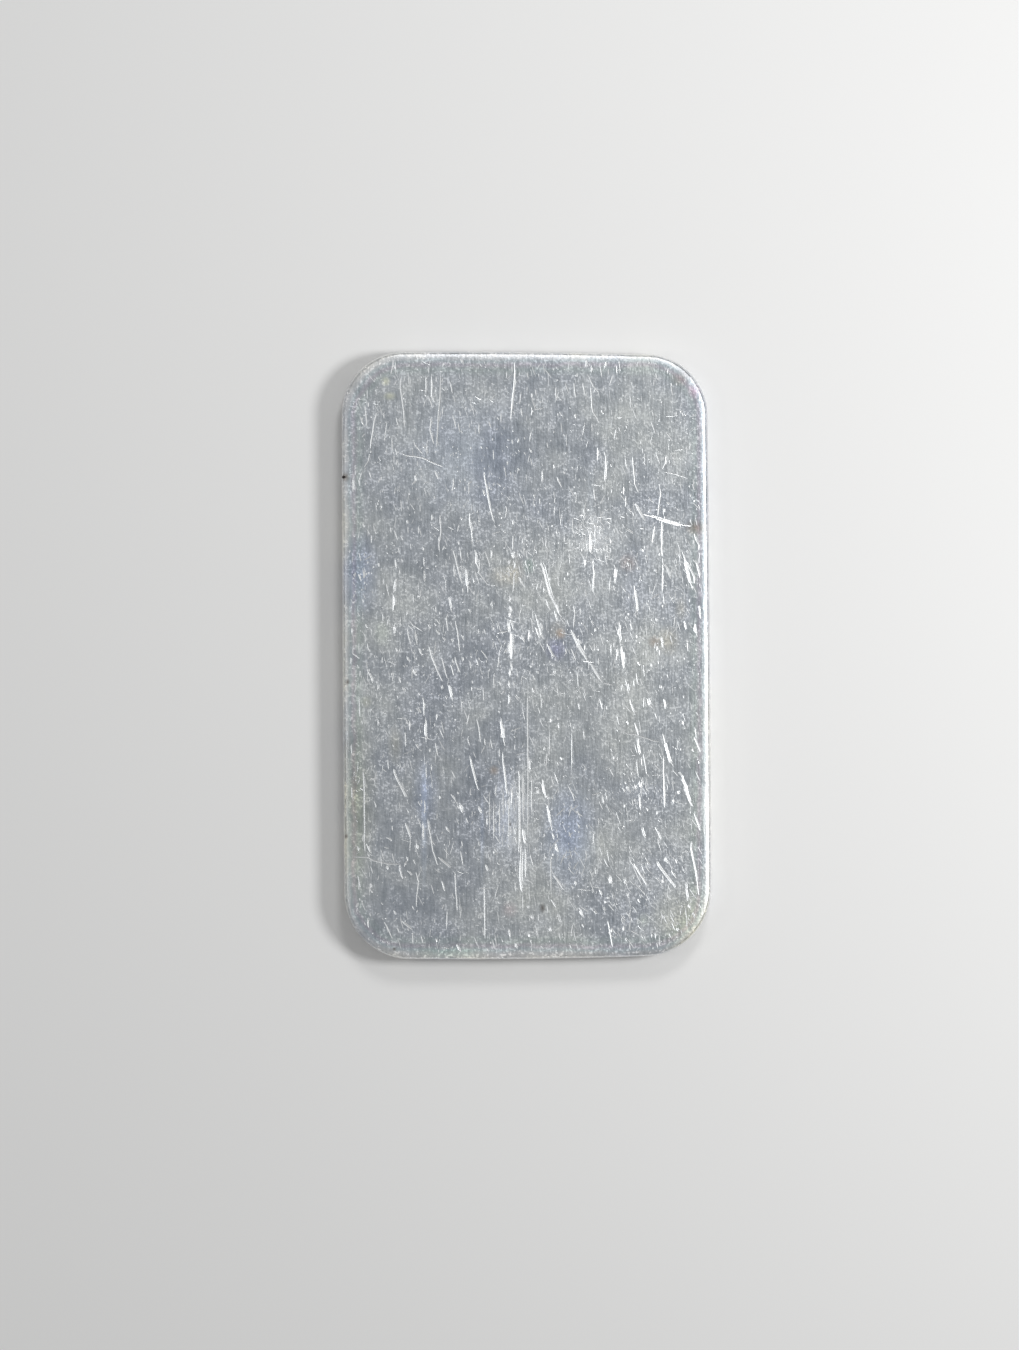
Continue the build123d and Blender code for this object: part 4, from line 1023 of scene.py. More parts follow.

# Brushed places read off: (x, y, reach across, reach along, strokes, lean, spread of the lean)
BRUSHED = [
    (5.3, 9.7, 0.9, 1.0, 130, 0, 60),
    (-1.1, -12.6, 0.7, 1.3, 55, 0, 4),
    (-1.2, 7.5, 0.7, 0.7, 35, 0, 30),
    (-5.0, 6.8, 0.5, 0.8, 18, -8, 12),
    (9.3, -10.6, 0.5, 0.5, 20, -10, 15),
    (13.0, 7.4, 0.5, 1.6, 35, -20, 12),
    (10.5, -19.5, 2.2, 2.2, 60, -28, 12),
    (3.2, -16.8, 0.9, 0.9, 20, -20, 40),
    (3.8, -2.8, 2.4, 0.5, 14, 85, 8),
]

# How steep the walls of the scratches are, in degrees, for each round of cutting
FAINT_SLOPES = [12.5, 14, 11, 13.5, 11.5, 15, 10]
STRONG_SLOPES = [14.5, 13, 15.5, 13.5]
CROSSWISE_SLOPES = [19, 17, 21]
PIT_SLOPES = [12, 15, 10]
FINE_SLOPES = [10.5, 13, 8.5, 12, 15, 9.5]
FINE_CROSSWISE_SLOPES = [15, 17.5, 13]

# How a seeded stroke swells along its length: (share of the length, share of the half width)
STROKE_TAPER = [(-0.5, 0.01), (-0.35, 0.75), (0.0, 1.0), (0.35, 0.75), (0.5, 0.01)]

# How a drawn scratch runs out: the shares of the half width at its tip and at its shoulder, and
# how far its shoulder lies from its tip, as a share of its last stretch
TIP_SHARE = 0.06
SHOULDER_SHARE = 0.8
SHOULDER_PLACE = 0.25

# A bundle's strands: how far out the outer ones lie as a share of the half width, how far each one
# wanders in millimetres, which shares of the scratch the shorter ones run between, and their widths
BUNDLE_SHARE = 0.8
STRAND_WANDER = 0.012
LATEST_START = 0.4
EARLIEST_END = 0.6
WHOLE_STRAND_WIDTHS = (1.0, 1.2)
PART_STRAND_WIDTHS = (0.6, 1.0)

# Pits: half widths in millimetres, and the ranges of their width, length and lean
PIT_HALF_WIDTH = 0.055
BIG_PIT_HALF_WIDTH = 0.095
PIT_WIDTHS = (0.75, 1.15)
PIT_LENGTHS = (2.4, 4.5)
PIT_LEANS = (-40, 25)

# The seeded field: its half width and half length in millimetres, how thickly it lies where the
# face is neither dulled nor calm, and how much a calm area thins it
FIELD_HALF_WIDTH = 14.2
FIELD_HALF_LENGTH = 23.8
PLAIN_CROWDING = 0.55
CALM_THINNING = 0.6

# Its strokes: how many there are, the longest and the widest in millimetres, the shares of these
# that the smallest ones have, and how much they bend
FIELD_COUNT = 2600
LONGEST_STROKE = 1.2
WIDEST_STROKE = 0.055
SHORTEST_SHARE = 0.10
THINNEST_SHARE = 0.4
FIELD_BENDS = (-0.15, 0.15)

# Strokes of the brushed places, in millimetres, and how far from the middle they may lie
BRUSHED_LENGTHS = (0.2, 0.9)
BRUSHED_HALF_WIDTHS = (0.018, 0.04)
BRUSHED_BENDS = (-0.5, 0.5)
BRUSHED_HALF_REACH = 14.1

# Lean of the field's strokes and its spread, in degrees. In the lower right they lean further, and
# a share of the strokes all over strays in any direction
LEAN = (-7, 15)
LOWER_RIGHT_LEAN = (-24, 12)
LOWER_RIGHT_FROM = (3, -8)
STRAY_SHARE = 0.2

# Seeds of the random draws
DRAWN_SEED = 5
FIELD_SEED = 11
BRUSHED_SEED = 3

# How far to each side a wedge reaches, in half widths of its scratch, and the gap kept from the next
WEDGE_REACH = 2.2
WEDGE_GAP = 0.02

# Points of a wedge that are nearer to each other than this become one
WEDGE_WELD = MM / 500


def wedge_section(name, slope):
    """The V that a scratch is cut with. It is one millimetre to each side at the face's height, so a
    curve's radius is its half width in millimetres."""
    curve = bpy.data.curves.new(name, "CURVE")
    curve.dimensions = "2D"
    spline = curve.splines.new("POLY")
    spline.points.add(2)
    depth = MM * math.tan(slope)
    places = [(0, -depth), (2 * MM, depth), (-2 * MM, depth)]
    for point, (across, up) in zip(spline.points, places):
        point.co = (across, up, 0, 1)
    spline.use_cyclic_u = True
    section = bpy.data.objects.new(name, curve)
    bpy.context.scene.collection.objects.link(section)
    return section


def wedge_set(name, paths, slope, material):
    """One mesh of V-shaped wedges along the face. A path is a list of (x, y, half width), all in
    millimetres."""
    section = wedge_section(name + "_section", slope)
    curve = bpy.data.curves.new(name, "CURVE")
    curve.dimensions = "3D"
    curve.twist_mode = "Z_UP"
    curve.bevel_mode = "OBJECT"
    curve.bevel_object = section
    curve.use_fill_caps = True
    for path in paths:
        spline = curve.splines.new("POLY")
        spline.points.add(len(path) - 1)
        for point, (x, y, half_width) in zip(spline.points, path):
            point.co = (x * MM, y * MM, THICKNESS, 1)
            point.radius = half_width
    wedges = bpy.data.objects.new(name, curve)
    bpy.context.scene.collection.objects.link(wedges)
    curve.materials.append(material)
    select_only(wedges)
    bpy.ops.object.convert(target="MESH")
    wedges = bpy.context.active_object
    edit(wedges)
    bpy.ops.mesh.select_all(action="SELECT")
    bpy.ops.mesh.remove_doubles(threshold=WEDGE_WELD)
    bpy.ops.mesh.normals_make_consistent(inside=False)
    bpy.ops.object.mode_set(mode="OBJECT")
    for face in wedges.data.polygons:
        face.use_smooth = False
    bpy.data.objects.remove(section)
    return wedges


def cut(bar, wedges):
    """Cuts a set of wedges out of the bar and deletes them."""
    modifier = bar.modifiers.new("cut", "BOOLEAN")
    modifier.operation = "DIFFERENCE"
    modifier.solver = "MANIFOLD"
    modifier.object = wedges
    select_only(bar)
    bpy.ops.object.modifier_apply(modifier=modifier.name)
    bpy.data.objects.remove(wedges)


def stroke(x, y, length, lean, half_width, bend=0.0):
    """A tapering stroke about a middle point. lean is in degrees clockwise from the bar's length."""
    turn = math.radians(lean)
    along = (math.sin(turn), math.cos(turn))
    across = (along[1], -along[0])
    path = []
    for share, radius in STROKE_TAPER:
        aside = bend * length * (0.25 - share ** 2)
        px = x + along[0] * length * share + across[0] * aside
        py = y + along[1] * length * share + across[1] * aside
        path.append((px, py, half_width * radius))
    return path


def crowding(x, y):
    """How thickly the small marks lie at a place, against the rest of the face."""
    share = PLAIN_CROWDING
    for spots, sign in ((HAZES, 1.0), (CALMS, -CALM_THINNING)):
        for spot_x, spot_y, reach_x, reach_y, strength in spots:
            away = math.hypot((x - spot_x) / reach_x, (y - spot_y) / reach_y)
            share += sign * strength * max(0.0, 1.0 - away)
    return share


def scratch_field():
    """Seeded strokes all over the face, thickest in the dulled areas."""
    draw = random.Random(FIELD_SEED)
    strokes = []
    while len(strokes) < FIELD_COUNT:
        x = draw.uniform(-FIELD_HALF_WIDTH, FIELD_HALF_WIDTH)
        y = draw.uniform(-FIELD_HALF_LENGTH, FIELD_HALF_LENGTH)
        if draw.random() > crowding(x, y):
            continue
        lower_right = x > LOWER_RIGHT_FROM[0] and y < LOWER_RIGHT_FROM[1]
        lean = draw.gauss(*(LOWER_RIGHT_LEAN if lower_right else LEAN))
        if draw.random() < STRAY_SHARE:
            lean = draw.uniform(-90, 90)
        length = LONGEST_STROKE * (SHORTEST_SHARE + (1 - SHORTEST_SHARE) * draw.random() ** 3)
        half_width = WIDEST_STROKE * (THINNEST_SHARE + (1 - THINNEST_SHARE) * draw.random() ** 2)
        strokes.append(stroke(x, y, length, lean, half_width, draw.uniform(*FIELD_BENDS)))
    return strokes


def brushed_strokes():
    """Seeded strokes crowded about each brushed place."""
    draw = random.Random(BRUSHED_SEED)
    strokes = []
    for x, y, reach_x, reach_y, count, lean, spread in BRUSHED:
        for _ in range(count):
            place = (draw.gauss(x, reach_x), draw.gauss(y, reach_y))
            length = draw.uniform(*BRUSHED_LENGTHS)
            half_width = draw.uniform(*BRUSHED_HALF_WIDTHS)
            bend = draw.uniform(*BRUSHED_BENDS)
            strokes.append(stroke(*place, length, draw.gauss(lean, spread), half_width, bend))
    return [path for path in strokes if abs(path[2][0]) < BRUSHED_HALF_REACH]


def reach_of(path):
    """The rectangle that a path's wedge covers, in millimetres, with room for its width."""
    room = WEDGE_REACH * max(half_width for _, _, half_width in path) + WEDGE_GAP
    xs = [x for x, _, _ in path]
    ys = [y for _, y, _ in path]
    return min(xs) - room, min(ys) - room, max(xs) + room, max(ys) + room


def apart(one, other):
    """True where two rectangles don't touch."""
    return one[2] < other[0] or other[2] < one[0] or one[3] < other[1] or other[3] < one[1]


def sort_apart(paths):
    """Sorts paths into rounds of cutting in which no two wedges touch each other."""
    rounds = []
    for path in paths:
        reach = reach_of(path)
        for members, reaches in rounds:
            if all(apart(reach, other) for other in reaches):
                members.append(path)
                reaches.append(reach)
                break
        else:
            rounds.append(([path], [reach]))
    return [members for members, _ in rounds]


def scratch(bar, name, paths, slopes, material):
    """Cuts V-shaped scratches into the bar, with a slope of the walls for each round of cutting."""
    for k, members in enumerate(sort_apart(paths)):
        slope = math.radians(slopes[k % len(slopes)])
        cut(bar, wedge_set(f"{name}_{k}", members, slope, material))


def nick_wedge(material):
    """The V-shaped wedge of the nick, its keel sloping from inside the rim down to the side."""
    left = cad_box[0][0]
    keel = Vector((NICK_DEPTH, 0, NICK_HEIGHT))
    foot = Vector((left, NICK_Y, THICKNESS - NICK_HEIGHT))
    lean = keel.angle(Vector((0, 0, 1)))
    inwards = Vector((math.cos(lean), 0, -math.sin(lean)))
    # Wide and long enough to pass well beyond the side and the face
    reach = 2.5 * NICK_DEPTH
    run = 2.0 * NICK_HEIGHT
    bpy.ops.object.select_all(action="DESELECT")
    bpy.ops.mesh.primitive_cylinder_add(
        vertices=4,
        radius=reach,
        depth=run,
        location=foot + keel.normalized() * (run / 2) - inwards * reach,
        rotation=(0, lean, 0),
    )
    wedge = bpy.context.active_object
    wedge.scale = (1, NICK_WIDTH / 2 / NICK_DEPTH, 1)
    bpy.ops.object.transform_apply(location=True, rotation=True, scale=True)
    wedge.data.materials.append(material)
    return wedge


def between(start, end, share):
    """A point part of the way from one point to another."""
    return tuple(a + (b - a) * share for a, b in zip(start, end))


def tapered(half_width, *points):
    """A drawn scratch through the points, with both of its ends run out to nothing."""
    early = between(points[0], points[1], SHOULDER_PLACE)
    late = between(points[-1], points[-2], SHOULDER_PLACE)
    tip = TIP_SHARE * half_width
    shoulder = SHOULDER_SHARE * half_width
    path = [(*points[0], tip), (*early, shoulder)]
    path += [(*point, half_width) for point in points[1:-1]]
    path += [(*late, shoulder), (*points[-1], tip)]
    return path


def strand(points, aside, start, end):
    """The part of a drawn line between two shares of its points, moved sideways, in millimetres."""
    lengths = [math.dist(one, other) for one, other in zip(points, points[1:])]
    total = sum(lengths)
    run = 0.0
    kept = []
    for k, length in enumerate(lengths):
        low = max(start, run / total)
        high = min(end, (run + length) / total)
        if high > low:
            first = between(points[k], points[k + 1], (low * total - run) / length)
            last = between(points[k], points[k + 1], (high * total - run) / length)
            kept += [last] if kept else [first, last]
        run += length
    along = Vector(kept[-1]) - Vector(kept[0])
    move = Vector((along.y, -along.x)).normalized() * aside
    return [(x + move.x, y + move.y) for x, y in kept]


def runs_across(path):
    """True where a path runs more across the bar than along it."""
    return abs(path[-1][0] - path[0][0]) > abs(path[-1][1] - path[0][1])


def bundle(half_width, points, draw):
    """The strands of one drawn scratch. The middle one runs all its length, the rest part of it."""
    count = max(1, round(half_width / STRAND_HALF_WIDTH))
    strands = []
    for k in range(count):
        middle = (2 * k + 1) / count - 1
        aside = BUNDLE_SHARE * half_width * middle + draw.uniform(-STRAND_WANDER, STRAND_WANDER)
        whole = k == count // 2
        start = 0.0 if whole else draw.uniform(0, LATEST_START)
        end = 1.0 if whole else draw.uniform(EARLIEST_END, 1)
        share = draw.uniform(*(WHOLE_STRAND_WIDTHS if whole else PART_STRAND_WIDTHS))
        fine = min(half_width, STRAND_HALF_WIDTH) * share
        strands.append(tapered(fine, *strand(points, aside, start, end)))
    return strands


def drawn_marks(bar, material):
    """Cuts the scratches and the pits that are listed."""
    draw = random.Random(DRAWN_SEED)
    faint = []
    strong = []
    crosswise = []
    for half_width, *points in SCRATCHES:
        for path in bundle(half_width, points, draw):
            if half_width < STRONG_HALF_WIDTH:
                faint.append(path)
            elif runs_across(path):
                crosswise.append(path)
            else:
                strong.append(path)
    scratch(bar, "faint", faint, FAINT_SLOPES, material)
    scratch(bar, "strong", strong, STRONG_SLOPES, material)
    scratch(bar, "crosswise", crosswise, CROSSWISE_SLOPES, material)
    pits = []
    for half_width, places in ((PIT_HALF_WIDTH, PITS), (BIG_PIT_HALF_WIDTH, BIG_PITS)):
        for x, y in places:
            wide = half_width * draw.uniform(*PIT_WIDTHS)
            length = wide * draw.uniform(*PIT_LENGTHS)
            pits.append(stroke(x, y, length, draw.uniform(*PIT_LEANS), wide))
    scratch(bar, "pit", pits, PIT_SLOPES, material)


def fine_marks(bar, material):
    """Cuts the seeded strokes. Those that run across the bar have steeper walls."""
    fine = scratch_field() + brushed_strokes()
    along = [path for path in fine if not runs_across(path)]
    across = [path for path in fine if runs_across(path)]
    scratch(bar, "fine", along, FINE_SLOPES, material)
    scratch(bar, "fine_across", across, FINE_CROSSWISE_SLOPES, material)


# Finishes


def add_node(material, kind, inputs=None, **settings):
    """Adds a node, sets its properties, and fills inputs with values or other nodes' outputs."""
    made = material.node_tree.nodes.new(kind)
    for name, value in settings.items():
        setattr(made, name, value)
    for name, value in (inputs or {}).items():
        socket = made.inputs[name]
        if isinstance(value, bpy.types.NodeSocket):
            material.node_tree.links.new(value, socket)
        else:
            socket.default_value = value
    return made


def new_finish(name):
    """An empty node material with its shader and its output."""
    material = bpy.data.materials.new(name)
    material.use_nodes = True
    material.node_tree.nodes.clear()
    shader = add_node(material, "ShaderNodeBsdfPrincipled")
    add_node(material, "ShaderNodeOutputMaterial", {"Surface": shader.outputs["BSDF"]})
    return material, shader


def fill(material, node, values):
    """Fills a node's inputs in order, with values or other nodes' outputs."""
    for socket, value in zip(node.inputs, values):
        if isinstance(value, bpy.types.NodeSocket):
            material.node_tree.links.new(value, socket)
        else:
            socket.default_value = value
    return node


def maths(material, operation, *values, clamp=False):
    """One Math node's output."""
    node = add_node(material, "ShaderNodeMath", operation=operation, use_clamp=clamp)
    return fill(material, node, values).outputs["Value"]


def vector_maths(material, operation, *values):
    """One Vector Math node."""
    node = add_node(material, "ShaderNodeVectorMath", operation=operation)
    return fill(material, node, values)


def noise(material, place, scale, detail):
    """Noise of so many features to each unit of its place."""
    return add_node(
        material,
        "ShaderNodeTexNoise",
        {"Vector": place, "Scale": scale, "Detail": detail, "Roughness": 0.6},
    ).outputs["Fac"]


def weighted(material, parts):
    """The sum of noises about a half, each with its own weight."""
    total = 0.5
    for fac, weight in parts:
        centred = maths(material, "SUBTRACT", fac, 0.5)
        total = maths(material, "MULTIPLY_ADD", centred, weight, total)
    return total


def mix_colour(material, factor, first, second, blend="MIX"):
    """One colour Mix node's output."""
    return add_node(
        material,
        "ShaderNodeMix",
        data_type="RGBA",
        blend_type=blend,
        inputs={"Factor": factor, "A": first, "B": second},
    ).outputs["Result"]


def soft_spot(material, millimetres, x, y, reach_x, reach_y):
    """A patch that fades from one at its middle to nothing at its reach, in millimetres."""
    shares = (1 / reach_x, 1 / reach_y, 1)
    middle = (-x / reach_x, -y / reach_y, -THICKNESS / MM)
    away = vector_maths(material, "MULTIPLY_ADD", millimetres, shares, middle)
    distance = vector_maths(material, "LENGTH", away.outputs["Vector"]).outputs["Value"]
    return maths(material, "SUBTRACT", 1.0, distance, clamp=True)


def rim_distance(material, millimetres):
    """How far in from the bar's outline a place is, in millimetres, up to the corner radius."""
    corner = TAIL_LEFT_RADIUS / MM
    split = add_node(material, "ShaderNodeSeparateXYZ", {"Vector": millimetres})
    beyond = []
    for axis, size in (("X", WIDTH), ("Y", LENGTH)):
        away = maths(material, "ABSOLUTE", split.outputs[axis])
        past = maths(material, "SUBTRACT", away, size / MM / 2 - corner)
        beyond.append(maths(material, "MAXIMUM", past, 0.0))
    squared = maths(material, "MULTIPLY", beyond[1], beyond[1])
    reach = maths(material, "SQRT", maths(material, "MULTIPLY_ADD", beyond[0], beyond[0], squared))
    return maths(material, "SUBTRACT", corner, reach)


# Thin rainbow of the tarnish round the rim, whose outer stops also lighten the outline as a painted
# highlight: (millimetres in from the outline, colour factor)
RIM_FILM_AND_HIGHLIGHT = [
    (0.00, (1.60, 1.52, 1.44, 1)),
    (0.35, (1.32, 1.29, 1.26, 1)),
    (0.55, (1.08, 1.13, 1.12, 1)),
    (0.85, (1.05, 0.98, 1.01, 1)),
    (1.20, (0.96, 1.00, 0.96, 1)),
    (1.80, (1.00, 1.00, 1.00, 1)),
]

# Stains read off: (x, y, reach across, reach along, colour factor), in millimetres
STAINS = [
    (-13.9, -11.5, 2.0, 7.5, (1.04, 1.01, 0.86)),
    (-11.4, 22.2, 0.45, 0.45, (1.40, 1.36, 1.10)),
    (-11.05, 21.0, 0.60, 0.40, (1.40, 1.36, 1.10)),
    (12.5, 22.4, 0.9, 0.7, (1.10, 0.98, 0.92)),
    (13.6, 21.4, 0.7, 0.7, (1.12, 0.93, 1.00)),
    (13.7, 10.35, 1.0, 0.7, (0.96, 0.82, 0.72)),
    (8.25, 7.5, 0.9, 0.9, (1.02, 0.90, 0.83)),
    (0.2, 7.3, 0.6, 0.8, (0.82, 0.94, 0.85)),
    (-1.9, 6.4, 1.5, 1.0, (1.22, 1.16, 1.06)),
    (-0.9, 6.9, 0.9, 1.5, (1.18, 1.12, 1.02)),
    (2.5, 2.0, 0.9, 0.9, (1.30, 1.22, 1.10)),
    (2.75, 1.75, 0.5, 0.5, (1.45, 1.18, 0.98)),
    (2.4, 0.5, 1.0, 1.1, (0.95, 0.93, 1.12)),
    (11.5, 1.2, 1.0, 1.4, (1.14, 1.07, 0.96)),
    (10.35, 1.1, 0.6, 0.6, (0.98, 0.86, 0.78)),
    (12.5, 3.8, 0.6, 1.1, (1.10, 1.05, 0.95)),
    (-11.7, 1.9, 0.9, 1.3, (1.10, 1.12, 1.04)),
    (9.45, -21.4, 0.7, 0.7, (1.10, 1.12, 1.02)),
    (-13.0, -3.75, 0.6, 0.6, (1.16, 1.14, 1.02)),
    (-10.65, -7.3, 0.7, 1.8, (1.12, 1.08, 0.98)),
    (-2.65, -9.3, 0.5, 0.5, (1.06, 0.90, 0.76)),
    (3.4, -14.6, 2.6, 4.8, (0.90, 0.97, 1.16)),
    (-8.2, -11.0, 1.2, 3.0, (0.92, 0.97, 1.12)),
    (-13.4, 6.5, 1.6, 4.0, (0.93, 0.98, 1.12)),
    (-5.0, 16.0, 6.0, 5.5, (0.93, 0.97, 1.08)),
    (13.0, -21.5, 3.2, 3.8, (1.08, 1.05, 0.92)),
    (-6.3, -24.0, 3.5, 0.7, (0.93, 1.02, 0.93)),
    (-1.4, -20.6, 0.8, 0.8, (1.10, 0.99, 0.99)),
    (-8.3, -13.5, 0.35, 6.0, (1.24, 1.28, 1.36)),
    (-1.7, -12.8, 1.1, 4.2, (1.16, 1.18, 1.24)),
    (-3.6, -14.5, 0.25, 4.0, (1.10, 1.13, 1.20)),
    (5.3, 9.6, 2.0, 2.3, (1.22, 1.21, 1.19)),
    (5.2, 13.2, 0.3, 3.0, (1.16, 1.17, 1.18)),
    (9.3, -10.6, 1.1, 1.1, (1.14, 1.14, 1.14)),
]

# Small dark spots read off: (x, y, reach across, reach along), in millimetres
DARK_SPOTS = [
    # The first spot, beside the nick, is painted shade of the nick
    (-14.65, 14.45, 0.42, 0.45),
    (-10.7, -23.77, 0.20, 0.20),
    (-1.33, -13.67, 0.16, 0.18),
    (1.3, -20.45, 0.30, 0.50),
    (-14.5, -2.15, 0.22, 0.30),
    (-14.6, -14.65, 0.20, 0.25),
]

def summed_spots(material, millimetres, spots):
    """The sum of soft spots, each by its strength."""
    total = 0.0
    for x, y, reach_x, reach_y, strength in spots:
        spot = soft_spot(material, millimetres, x, y, reach_x, reach_y)
        total = maths(material, "MULTIPLY_ADD", spot, strength, total)
    return total


# Noises of the finish: (features to the millimetre, detail)
CLOUDS = (0.17, 2.0)
PATCHES = (0.8, 3.0)
BLOTS = (2.3, 3.0)
GRAIN = (4.8, 2.0)
HAIRS = (5.0, 2.0)
HAIR_STRETCH = 0.13

# Bright flecks start where the grain passes this level, and crowd in the dulled areas
FLECK_START = 0.56
FLECK_CRISPNESS = 12.0
FLECK_LIGHT = 1.1
HAZE_CROWDING = 1.2
HAZE_LIGHT = 0.18

# The tarnish from its dark ground to its palest wear, and the tints that it drifts between
DARK_TARNISH = (0.31, 0.345, 0.375, 1)
PALE_TARNISH = (0.65, 0.67, 0.68, 1)
COOL_TINT = (0.975, 0.99, 1.05, 1)
WARM_TINT = (1.01, 1.01, 0.975, 1)
TINT_MIDDLE = 0.4
TINT_SPREAD = 2.4
DARK_SPOT = (0.20, 0.19, 0.18, 1)
FILM_WOBBLE = 0.35

# The dark ground is the smoothest, and the finish roughens as it gets paler
SMOOTHEST = 0.37
ROUGHENING = 0.20


def stained_and_nick_shaded(material, millimetres, colour):
    """A colour with the stains and the small dark spots laid over it. The dark spot beside the nick
    is painted shade.
    """
    for x, y, reach_x, reach_y, factor in STAINS:
        spot = soft_spot(material, millimetres, x, y, reach_x, reach_y)
        colour = mix_colour(material, spot, colour, (*factor, 1), "MULTIPLY")
    for x, y, reach_x, reach_y in DARK_SPOTS:
        spot = soft_spot(material, millimetres, x, y, reach_x, reach_y)
        colour = mix_colour(material, spot, colour, DARK_SPOT)
    return colour


def filmed_and_highlighted(material, millimetres, patches, colour):
    """A colour with the rainbow film along the rim laid over it, and a painted highlight along the
    outline, its width wobbling a little.
    """
    widest_band = RIM_FILM_AND_HIGHLIGHT[-1][0]
    share = maths(material, "DIVIDE", rim_distance(material, millimetres), widest_band)
    uneven = maths(material, "SUBTRACT", patches, 0.5)
    wobble = maths(material, "MULTIPLY_ADD", uneven, FILM_WOBBLE, share)
    film_and_highlight = add_node(material, "ShaderNodeValToRGB", {"Fac": wobble})
    for k, (inwards, factor) in enumerate(RIM_FILM_AND_HIGHLIGHT):
        stops = film_and_highlight.color_ramp.elements
        stop = stops[k] if k < 2 else stops.new(inwards / widest_band)
        stop.position = inwards / widest_band
        stop.color = factor
    return mix_colour(material, 1.0, colour, film_and_highlight.outputs["Color"], "MULTIPLY")


def tarnished_silver():
    """The face as it has aged: grey silver with a thin uneven film, flecked all over with wear, with
    a painted highlight along the rim and painted shade beside the nick.
    """
    material, shader = new_finish("tarnished_silver")
    shader.inputs["Metallic"].default_value = 1.0
    place = add_node(material, "ShaderNodeTexCoord").outputs["Object"]
    to_millimetres = (1 / MM, 1 / MM, 1 / MM)
    millimetres = add_node(
        material, "ShaderNodeMapping", {"Vector": place, "Scale": to_millimetres}
    ).outputs["Vector"]
    drawn_out = add_node(
        material,
        "ShaderNodeMapping",
        {"Vector": millimetres, "Rotation": (0, 0, HAIR_TURN), "Scale": (1, HAIR_STRETCH, 1)},
    ).outputs["Vector"]
    clouds = noise(material, millimetres, *CLOUDS)
    patches = noise(material, millimetres, *PATCHES)
    blots = noise(material, millimetres, *BLOTS)
    grain = noise(material, millimetres, *GRAIN)
    hairs = noise(material, drawn_out, *HAIRS)
    worn = maths(
        material,
        "SUBTRACT",
        summed_spots(material, millimetres, HAZES),
        summed_spots(material, millimetres, CALMS),
    )

    uneven = weighted(material, [(patches, 4.2)])
    fleck_share = maths(material, "MULTIPLY_ADD", worn, HAZE_CROWDING, uneven)
    coarse_grain = weighted(material, [(grain, 1.0), (blots, 0.5)])
    above = maths(material, "SUBTRACT", coarse_grain, FLECK_START)
    crisp = maths(material, "MULTIPLY", above, FLECK_CRISPNESS, clamp=True)
    flecks = maths(material, "MULTIPLY", crisp, fleck_share, clamp=True)

    parts = [(clouds, 0.7), (patches, 0.7), (blots, 0.4), (grain, 0.3), (hairs, 0.6)]
    tone = weighted(material, parts)
    tone = maths(material, "MULTIPLY_ADD", flecks, FLECK_LIGHT, tone)
    light = maths(material, "MULTIPLY_ADD", worn, HAZE_LIGHT, tone)
    colour = mix_colour(material, light, DARK_TARNISH, PALE_TARNISH)
    uneven = maths(material, "SUBTRACT", clouds, 0.5)
    hue = maths(material, "MULTIPLY_ADD", uneven, TINT_SPREAD, TINT_MIDDLE, clamp=True)
    tint = mix_colour(material, hue, COOL_TINT, WARM_TINT)
    colour = mix_colour(material, 1.0, colour, tint, "MULTIPLY")
    colour = stained_and_nick_shaded(material, millimetres, colour)
    colour = filmed_and_highlighted(material, millimetres, patches, colour)
    rough = maths(material, "MULTIPLY_ADD", light, ROUGHENING, SMOOTHEST)

    relief = weighted(material, [(grain, 1.3), (hairs, 1.4)])
    bump = add_node(
        material,
        "ShaderNodeBump",
        {"Height": relief, "Strength": 1.0, "Distance": FINE_RELIEF},
    )
    links = material.node_tree.links
    links.new(colour, shader.inputs["Base Color"])
    links.new(rough, shader.inputs["Roughness"])
    links.new(bump.outputs["Normal"], shader.inputs["Normal"])
    return material


def bare_silver():
    """Fresh metal in the scratches."""
    material, shader = new_finish("bare_silver")
    shader.inputs["Metallic"].default_value = 1.0
    shader.inputs["Base Color"].default_value = (0.81, 0.83, 0.84, 1)
    shader.inputs["Roughness"].default_value = 0.36
    return material


def nick_shade_silver():
    """Painted shade: near-black colour in the knocked nick, standing in for the shade that the nick
    lies in.
    """
    material, shader = new_finish("nick_shade_silver")
    shader.inputs["Metallic"].default_value = 0.6
    shader.inputs["Base Color"].default_value = (0.055, 0.045, 0.04, 1)
    shader.inputs["Roughness"].default_value = 0.6
    return material


def pale_floor():
    """A plain pale sheet for the bar to lie on."""
    material, shader = new_finish("pale_sheet")
    shader.inputs["Base Color"].default_value = (0.74, 0.74, 0.735, 1)
    shader.inputs["Roughness"].default_value = 0.9
    return material


# Making the bar

tarnish = tarnished_silver()
bare = bare_silver()
painted_nick_shade = nick_shade_silver()
silver_bar = bar_blank()
silver_bar.data.materials.clear()
silver_bar.data.materials.append(tarnish)
silver_bar.data.materials.append(bare)
silver_bar.data.materials.append(painted_nick_shade)

# The nick's cut walls take the near-black painted shade
cut(silver_bar, nick_wedge(painted_nick_shade))
drawn_marks(silver_bar, bare)
fine_marks(silver_bar, bare)

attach(silver_bar, "root")
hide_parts("ingot")

# Floor, lamps and camera

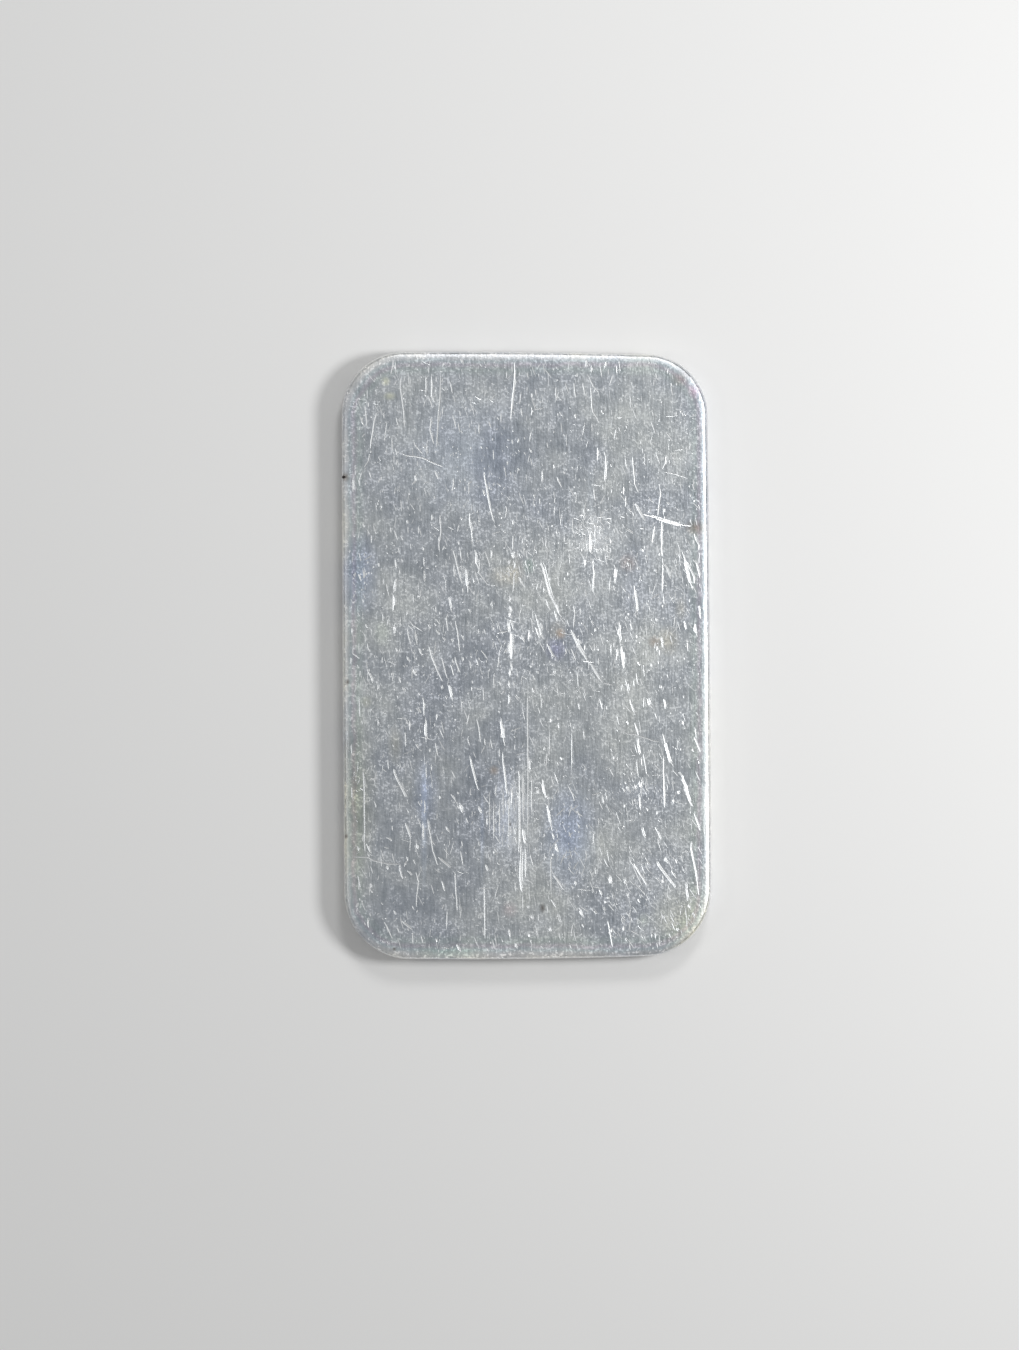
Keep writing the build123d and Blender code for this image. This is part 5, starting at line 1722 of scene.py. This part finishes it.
FLOOR_SIZE = 2.0
FLOOR_GAP = 0.02 * MM
bpy.ops.mesh.primitive_plane_add(size=FLOOR_SIZE, location=(0, 0, -FLOOR_GAP))
floor = bpy.context.active_object
floor.name = "floor"
floor.data.materials.append(pale_floor())

# Round soft lamps that look at the bar: (name, turn from +X and height in degrees, power in watts)
LAMPS = [("key", 5, 42, 0.30), ("fill", 77, 44, 0.12), ("side", 185, 48, 0.03)]
LAMP_DISTANCE = 0.22
LAMP_SPREAD = math.radians(15)
WORLD_LIGHT = 0.36


def lamp(name, turn, height_angle, power):
    """Places one of the lamps."""
    turn = math.radians(turn)
    height_angle = math.radians(height_angle)
    reach = LAMP_DISTANCE * math.cos(height_angle)
    data = bpy.data.lights.new(name, "AREA")
    data.shape = "DISK"
    data.size = 2 * LAMP_DISTANCE * math.tan(LAMP_SPREAD / 2)
    data.energy = power
    made = bpy.data.objects.new(name, data)
    bpy.context.scene.collection.objects.link(made)
    height = LAMP_DISTANCE * math.sin(height_angle)
    made.location = (reach * math.cos(turn), reach * math.sin(turn), height)
    made.rotation_euler = (-made.location).to_track_quat("-Z", "Y").to_euler()


for setting in LAMPS:
    lamp(*setting)

world = bpy.data.worlds.new("studio")
bpy.context.scene.world = world
world.use_nodes = True
background = world.node_tree.nodes["Background"]
background.inputs["Color"].default_value = (1, 1, 1, 1)
background.inputs["Strength"].default_value = WORLD_LIGHT

# The photograph is 1350 pixels high, and one of its pixels is this long on the bar
PHOTO_HEIGHT_PX = 1350
PIXEL = 0.08115 * MM
CAMERA_DISTANCE = 0.5
BAR_RIGHT_OF_VIEW_PX = 17.0
BAR_ABOVE_VIEW_PX = 19.5
camera_data = bpy.data.cameras.new("camera")
camera_data.lens = camera_data.sensor_width * CAMERA_DISTANCE / (PHOTO_HEIGHT_PX * PIXEL)
camera = bpy.data.objects.new("camera", camera_data)
bpy.context.scene.collection.objects.link(camera)
camera.location = (
    -BAR_RIGHT_OF_VIEW_PX * PIXEL,
    -BAR_ABOVE_VIEW_PX * PIXEL,
    BELT_TO_FOOT + CAMERA_DISTANCE,
)
bpy.context.scene.camera = camera
bpy.context.scene.view_settings.view_transform = "Standard"
